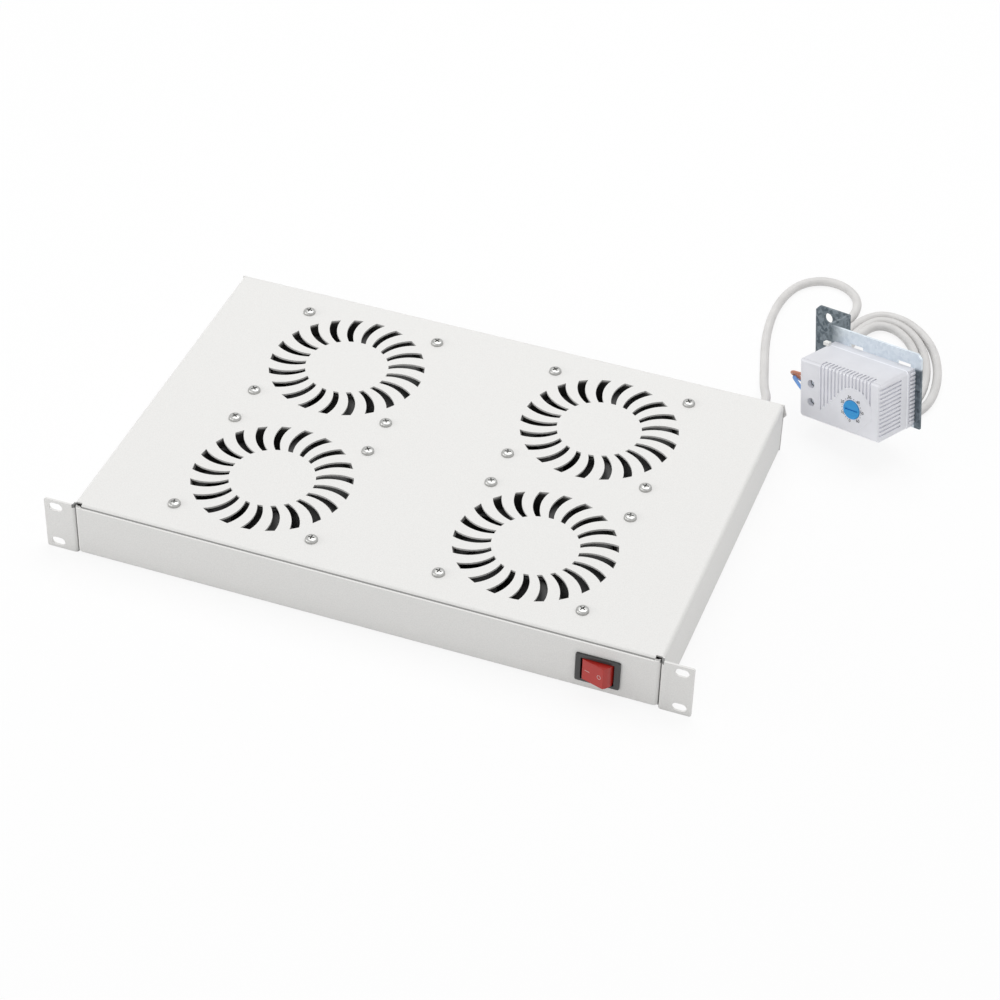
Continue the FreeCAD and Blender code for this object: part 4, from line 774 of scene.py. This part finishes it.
def copies(name, mesh, places):
    """One mesh with a copy of another at each of the places, each turned a little differently."""
    build = bmesh.new()
    for index, place in enumerate(places):
        turned = mesh.copy()
        turned.transform(place @ Matrix.Rotation(math.radians(SCREW_TURN * index), 4, "Z"))
        build.from_mesh(turned)
        bpy.data.meshes.remove(turned)
    whole = bpy.data.meshes.new(name)
    build.to_mesh(whole)
    build.free()
    return smooth(whole, SCREW_EDGE)


def add_screws(name, size, places, material, node):
    """A set of equal screws in the place of a node of plainer ones."""
    mesh = copies(name, pan_screw(*size), places)
    add_piece(name, mesh, material, "tray", material_slot(node), node)


def make_screws(materials):
    """The screws of the fans, of the mains inlet and of the thermostat's terminals."""
    places = []
    for across, along in FAN_PLACES:
        for side in (-SCREW_REACH, SCREW_REACH):
            for end in (-SCREW_REACH, SCREW_REACH):
                spot = Vector(((across + side) * MM, (along + end) * MM, TOP))
                places.append(Matrix.Translation(spot))
    add_screws("fan_screw_set", FAN_SCREW, places, materials["zinc"], "fan_screws")
    low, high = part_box("inlet_screws")
    level = (low.z + high.z) / 2
    places = []
    for across in (-INLET_REACH, INLET_REACH):
        place = Matrix.Translation(Vector((across * MM, INLET_FACE * MM, level)))
        places.append(place @ Matrix.Rotation(math.radians(-90.0), 4, "X"))
    add_screws("inlet_screw_set", INLET_SCREW, places, materials["zinc"], "inlet_screws")
    places = []
    for across, up in TERMINAL_PLACES:
        place = CASE @ Matrix.Translation(Vector((across, TERMINAL_SEAT, up)) * MM)
        places.append(place @ Matrix.Rotation(math.radians(90.0), 4, "X"))
    add_screws("terminal_screw_set", TERMINAL_SCREW, places, materials["bright_screw"], "thermostat_screws")


def blade_point(number, share, place, side):
    """A point of a blade from its root to its tip, along its chord and through its thickness."""
    radius = HUB_RADIUS - BLADE_ROOT + (BLADE_TIP - HUB_RADIUS + BLADE_ROOT) * share
    pitch = math.radians(BLADE_PITCH - BLADE_TWIST * share)
    chord = BLADE_CHORD + BLADE_SPREAD * share
    bow = BLADE_BOW * chord * (1 - 4 * place * place)
    thick = BLADE_THICKNESS * (1.0 - BLADE_THINNING * abs(2 * place) ** 3)
    around = place * chord * math.cos(pitch) - (bow + side * thick) * math.sin(pitch)
    height = place * chord * math.sin(pitch) + (bow + side * thick) * math.cos(pitch)
    base = 2 * math.pi * number / BLADE_COUNT + BLADE_REST
    angle = base + BLADE_LEAN * share + around / radius
    return Vector((radius * math.cos(angle), radius * math.sin(angle), BLADE_LEVEL + height)) * MM


def grid_edge(grid):
    """The vertices round the edge of a grid, in order."""
    last_row, last_column = len(grid) - 1, len(grid[0]) - 1
    edge = [grid[row][0] for row in range(last_row)]
    edge += [grid[last_row][column] for column in range(last_column)]
    edge += [grid[row][last_column] for row in range(last_row, 0, -1)]
    edge += [grid[0][column] for column in range(last_column, 0, -1)]
    return edge


def impeller_mesh():
    """A hub open below, with twisted blades that are steep at the hub and flatter at the tip."""
    top = -HUB_TOP
    low = top - HUB_LENGTH
    inside = HUB_RADIUS - HUB_WALL
    profile = [(0, top)] + [(HUB_RADIUS - across, top - down) for across, down in HUB_RIM]
    profile += [(HUB_RADIUS, low), (inside, low), (inside, top - HUB_WALL), (0, top - HUB_WALL)]
    build = bmesh.new()
    revolve(build, profile, HUB_SIDES)
    for number in range(BLADE_COUNT):
        sides = []
        for side in (-0.5, 0.5):
            grid = []
            for row in range(BLADE_ROWS + 1):
                line = []
                for column in range(BLADE_COLUMNS + 1):
                    spot = blade_point(number, row / BLADE_ROWS, column / BLADE_COLUMNS - 0.5, side)
                    line.append(build.verts.new(spot))
                grid.append(line)
            sides.append(grid)
        for grid in sides:
            for near_row, far_row in zip(grid, grid[1:]):
                for column in range(BLADE_COLUMNS):
                    build.faces.new((near_row[column], far_row[column], far_row[column + 1],
                                     near_row[column + 1]))
        band(build, grid_edge(sides[0]), grid_edge(sides[1]))
    return to_mesh("impeller", build, 40.0)


def make_impellers(materials):
    """One impeller for each fan, on the fan's own body."""
    mesh = impeller_mesh()
    for number, (across, along) in enumerate(FAN_PLACES, 1):
        node = "fan_impeller_%d" % number
        turned = mesh.copy()
        turned.transform(Matrix.Translation(Vector((across * MM, along * MM, TOP - SHEET * MM))))
        slot = material_slot(node)
        add_piece("impeller_%d" % number, turned, materials[slot], "fan_%d" % number, slot, node)
    bpy.data.meshes.remove(mesh)


def make_rocker_marks(materials):
    """A bar for on and a ring for off, on the rocker's flat face."""
    pivot = Vector((ROCKER_PIVOT[0] * MM, ROCKER_PIVOT[1] * MM, GROUND + ROCKER_PIVOT[2] * MM))
    face = Matrix.Translation(pivot) @ Matrix.Rotation(math.radians(ROCKER_REST), 4, "Z")
    face = face @ Matrix.Rotation(math.radians(90.0), 4, "X")
    low, high = ROCKER_FLAT - MARK_SUNK, ROCKER_FLAT + MARK_PROUD
    build = bmesh.new()
    bar = []
    for end, start in ((1, -90), (-1, 90)):
        for step in range(7):
            angle = math.radians(start + 30 * step)
            across = BAR_PLACE + end * BAR_REACH + BAR_HALF * math.cos(angle)
            bar.append((across, BAR_HALF * math.sin(angle)))
    prism(build, bar, low, high, face)
    for index in range(RING_STEPS):
        outline = []
        for step, sizes in ((index, (RING_INSIDE, RING_OUTSIDE)), (index + 1, (RING_OUTSIDE, RING_INSIDE))):
            angle = 2 * math.pi * step / RING_STEPS
            for wide, tall in sizes:
                outline.append((RING_PLACE + wide * math.cos(angle), tall * math.sin(angle)))
        prism(build, outline, low, high, face)
    mesh = to_mesh("rocker_marks", build)
    add_piece("rocker_marks", mesh, materials["rocker_mark"], "rocker", "white_plastic")


def text_mesh(words, height):
    """Flat letters in X and Y about the origin, raised a little."""
    curve = bpy.data.curves.new("number", "FONT")
    curve.body = words
    curve.size = height / CAPITAL_SHARE * MM
    curve.align_x = "CENTER"
    curve.align_y = "CENTER"
    curve.extrude = INK_HEIGHT * MM
    curve.offset = INK_SPREAD * MM
    holder = bpy.data.objects.new("number", curve)
    mesh = bpy.data.meshes.new_from_object(holder)
    bpy.data.objects.remove(holder)
    bpy.data.curves.remove(curve)
    return mesh


def cover_level(tree, across, up):
    """How far back the cover's surface is at a place on its face, in its own frame."""
    way = CASE.to_3x3() @ Vector((0, 1, 0))
    spot = tree.ray_cast(in_case(across, BEFORE_COVER, up), way)[0]
    return (CASE.inverted() @ spot).y / MM


def on_cover(tree, angle, radius):
    """The matrix that lays X and Y on the cover's face, at an angle and a distance from the dial's middle."""
    across = DIAL_PLACE[0] + radius * math.sin(angle)
    up = DIAL_PLACE[1] + radius * math.cos(angle)
    level = cover_level(tree, across, up)
    upright = Matrix.Rotation(math.radians(90.0), 4, "X")
    return CASE @ Matrix.Translation(Vector((across, level, up)) * MM) @ upright


def make_scale(materials):
    """Numbers round the dial, with small dots between them."""
    cover = frame["nodes"]["thermostat_cover"].data
    points = [point.co for point in cover.vertices]
    tree = BVHTree.FromPolygons(points, [tuple(face.vertices) for face in cover.polygons])
    build = bmesh.new()
    for index, words in enumerate(SCALE_NUMBERS):
        angle = math.radians(SCALE_START + SCALE_STEP * index)
        mesh = text_mesh(words, NUMBER_HEIGHT)
        mesh.transform(on_cover(tree, angle, SCALE_RADIUS))
        build.from_mesh(mesh)
        bpy.data.meshes.remove(mesh)
        if index == len(SCALE_NUMBERS) - 1:
            continue
        for part, size in enumerate(DOT_SIZES, 1):
            dot = []
            for step in range(DOT_SIDES):
                corner = 2 * math.pi * step / DOT_SIDES
                dot.append((size * math.cos(corner), size * math.sin(corner)))
            turn = angle + math.radians(SCALE_STEP) * part / 4
            prism(build, dot, -INK_HEIGHT, INK_HEIGHT, on_cover(tree, turn, DOT_RADIUS))
    add_piece("dial_scale", to_mesh("dial_scale", build), materials["scale_ink"], "tray", "case_plastic")


def add_border(build):
    """The fine raised border round the dial's corner of the cover."""
    line = [Vector(BORDER_START)]
    for step in range(BORDER_STEPS + 1):
        angle = math.radians(BORDER_FROM + (BORDER_TO - BORDER_FROM) * step / BORDER_STEPS)
        line.append(Vector(BORDER_ARCH) + BORDER_RADIUS * Vector((math.cos(angle), math.sin(angle))))
    line += [Vector(point) for point in BORDER_END]
    rings = []
    for index, point in enumerate(line):
        before, after = line[max(0, index - 1)], line[min(len(line) - 1, index + 1)]
        way = (after - before).normalized()
        side = Vector((-way.y, way.x))
        ring = []
        for offset, back in BORDER_SECTION:
            spot = point + side * offset
            ring.append(build.verts.new(in_case(spot.x, back, spot.y)))
        rings.append(ring)
    for first, second in zip(rings, rings[1:]):
        band(build, first, second)
    build.faces.new(rings[0])
    build.faces.new(rings[-1])


def add_teeth(build):
    """The teeth on the base's right end."""
    front, back = TOOTH_SPAN
    section = ((front, 0.0), (front + TOOTH_SLOPE, TOOTH_PROUD), (back - TOOTH_CHAMFER, TOOTH_PROUD),
               (back, TOOTH_PROUD - TOOTH_CHAMFER), (back, -TOOTH_SUNK), (front, -TOOTH_SUNK))
    for tooth in range(TEETH):
        level = TOOTH_FIRST + TOOTH_PITCH * tooth
        ends = []
        for up in (level - TOOTH_WIDTH / 2, level + TOOTH_WIDTH / 2):
            ends.append([build.verts.new(in_case(CASE_END + out, deep, up)) for deep, out in section])
        solid_between(build, *ends)


def make_cover_trim(materials):
    """Border and teeth, one piece with the look of the case."""
    build = bmesh.new()
    add_border(build)
    add_teeth(build)
    add_piece("cover_trim", to_mesh("cover_trim", build), materials["case_plastic"], "tray", "case_plastic")


# Surroundings, light and camera.


def seen_share(tree):
    """1 for what is seen directly, in a reflection or through something, and 0 for light between surfaces."""
    ray = tree.nodes.new("ShaderNodeLightPath")
    value = ray.outputs["Is Camera Ray"]
    for name in ("Is Glossy Ray", "Is Transmission Ray"):
        either = tree.nodes.new("ShaderNodeMath")
        either.operation = "MAXIMUM"
        tree.links.new(value, either.inputs[0])
        tree.links.new(ray.outputs[name], either.inputs[1])
        value = either.outputs["Value"]
    return value


def make_floor():
    """A pale plain floor that shows white to the camera and keeps the object's soft shadow."""
    mesh = bpy.data.meshes.new("floor")
    corners = []
    for across, along in ((-1, -1), (1, -1), (1, 1), (-1, 1)):
        corners.append((across * FLOOR_REACH, along * FLOOR_REACH, GROUND))
    mesh.from_pydata(corners, [], [(0, 1, 2, 3)])
    floor = bpy.data.objects.new("floor", mesh)
    bpy.context.scene.collection.objects.link(floor)
    shader = Shader("floor").set(Base_Color=(0.9, 0.9, 0.9, 1), Roughness=0.9)
    glow = shader.node("ShaderNodeEmission")
    glow.inputs["Color"].default_value = (1, 1, 1, 1)
    (left, front), (right, rear) = UNDER_TRAY
    level = GROUND / MM
    under = shader.in_box((left, front, level - 1.0), (right, rear, level + 1.0))
    share = shader.combined("MULTIPLY", seen_share(shader.tree), shader.levels(under, FLOOR_WHITE, 0.0))
    mix = shader.node("ShaderNodeMixShader")
    shader.link(share, mix.inputs["Fac"])
    shader.link(shader.surface.outputs["BSDF"], mix.inputs[1])
    shader.link(glow.outputs["Emission"], mix.inputs[2])
    shader.link(mix.outputs["Shader"], shader.tree.nodes["Material Output"].inputs["Surface"])
    mesh.materials.append(shader.material)


def make_world():
    """Even light from all round, which is seen as plain white."""
    world = bpy.data.worlds.new("studio")
    bpy.context.scene.world = world
    world.use_nodes = True
    tree = world.node_tree
    background = tree.nodes["Background"]
    white = tree.nodes.new("ShaderNodeBackground")
    for item, strength in ((background, WORLD_LIGHT), (white, 1.0)):
        item.inputs["Color"].default_value = (1, 1, 1, 1)
        item.inputs["Strength"].default_value = strength
    mix = tree.nodes.new("ShaderNodeMixShader")
    tree.links.new(seen_share(tree), mix.inputs["Fac"])
    tree.links.new(background.outputs["Background"], mix.inputs[1])
    tree.links.new(white.outputs["Background"], mix.inputs[2])
    tree.links.new(mix.outputs["Shader"], tree.nodes["World Output"].inputs["Surface"])


def soft_light(name, place, target, width, height, power):
    """A rectangular light that faces a point."""
    data = bpy.data.lights.new(name, "AREA")
    data.shape = "RECTANGLE"
    data.size = width
    data.size_y = height
    data.energy = power
    lamp = bpy.data.objects.new(name, data)
    lamp.location = place
    lamp.rotation_euler = (Vector(target) - Vector(place)).to_track_quat("-Z", "Y").to_euler()
    bpy.context.scene.collection.objects.link(lamp)


def make_lights():
    """A large light above, and weaker ones in front and on the left."""
    for light in LIGHTS:
        soft_light(*light)


def make_camera():
    """The camera at the photograph's viewing angle."""
    azimuth, elevation, roll = (math.radians(angle) for angle in (AZIMUTH, ELEVATION, ROLL))
    back = Vector((math.sin(azimuth) * math.cos(elevation), -math.cos(azimuth) * math.cos(elevation),
                   math.sin(elevation)))
    right = Vector((math.cos(azimuth), math.sin(azimuth), 0))
    up = back.cross(right)
    level = Matrix((right, up, back)).transposed()
    turn = Matrix.Rotation(roll, 3, "Z")
    data = bpy.data.cameras.new("camera")
    data.lens = LENS
    data.sensor_width = SENSOR
    data.clip_end = 50
    camera = bpy.data.objects.new("camera", data)
    camera.matrix_world = Matrix.Translation(AIM + back * DISTANCE) @ (level @ turn).to_4x4()
    bpy.context.scene.collection.objects.link(camera)
    bpy.context.scene.camera = camera


bpy.context.scene.view_settings.view_transform = "Standard"
materials = make_materials()
paint_nodes(materials)
make_camera()
make_cords(materials)
make_screws(materials)
make_impellers(materials)
make_rocker_marks(materials)
make_scale(materials)
make_cover_trim(materials)
make_floor()
make_world()
make_lights()
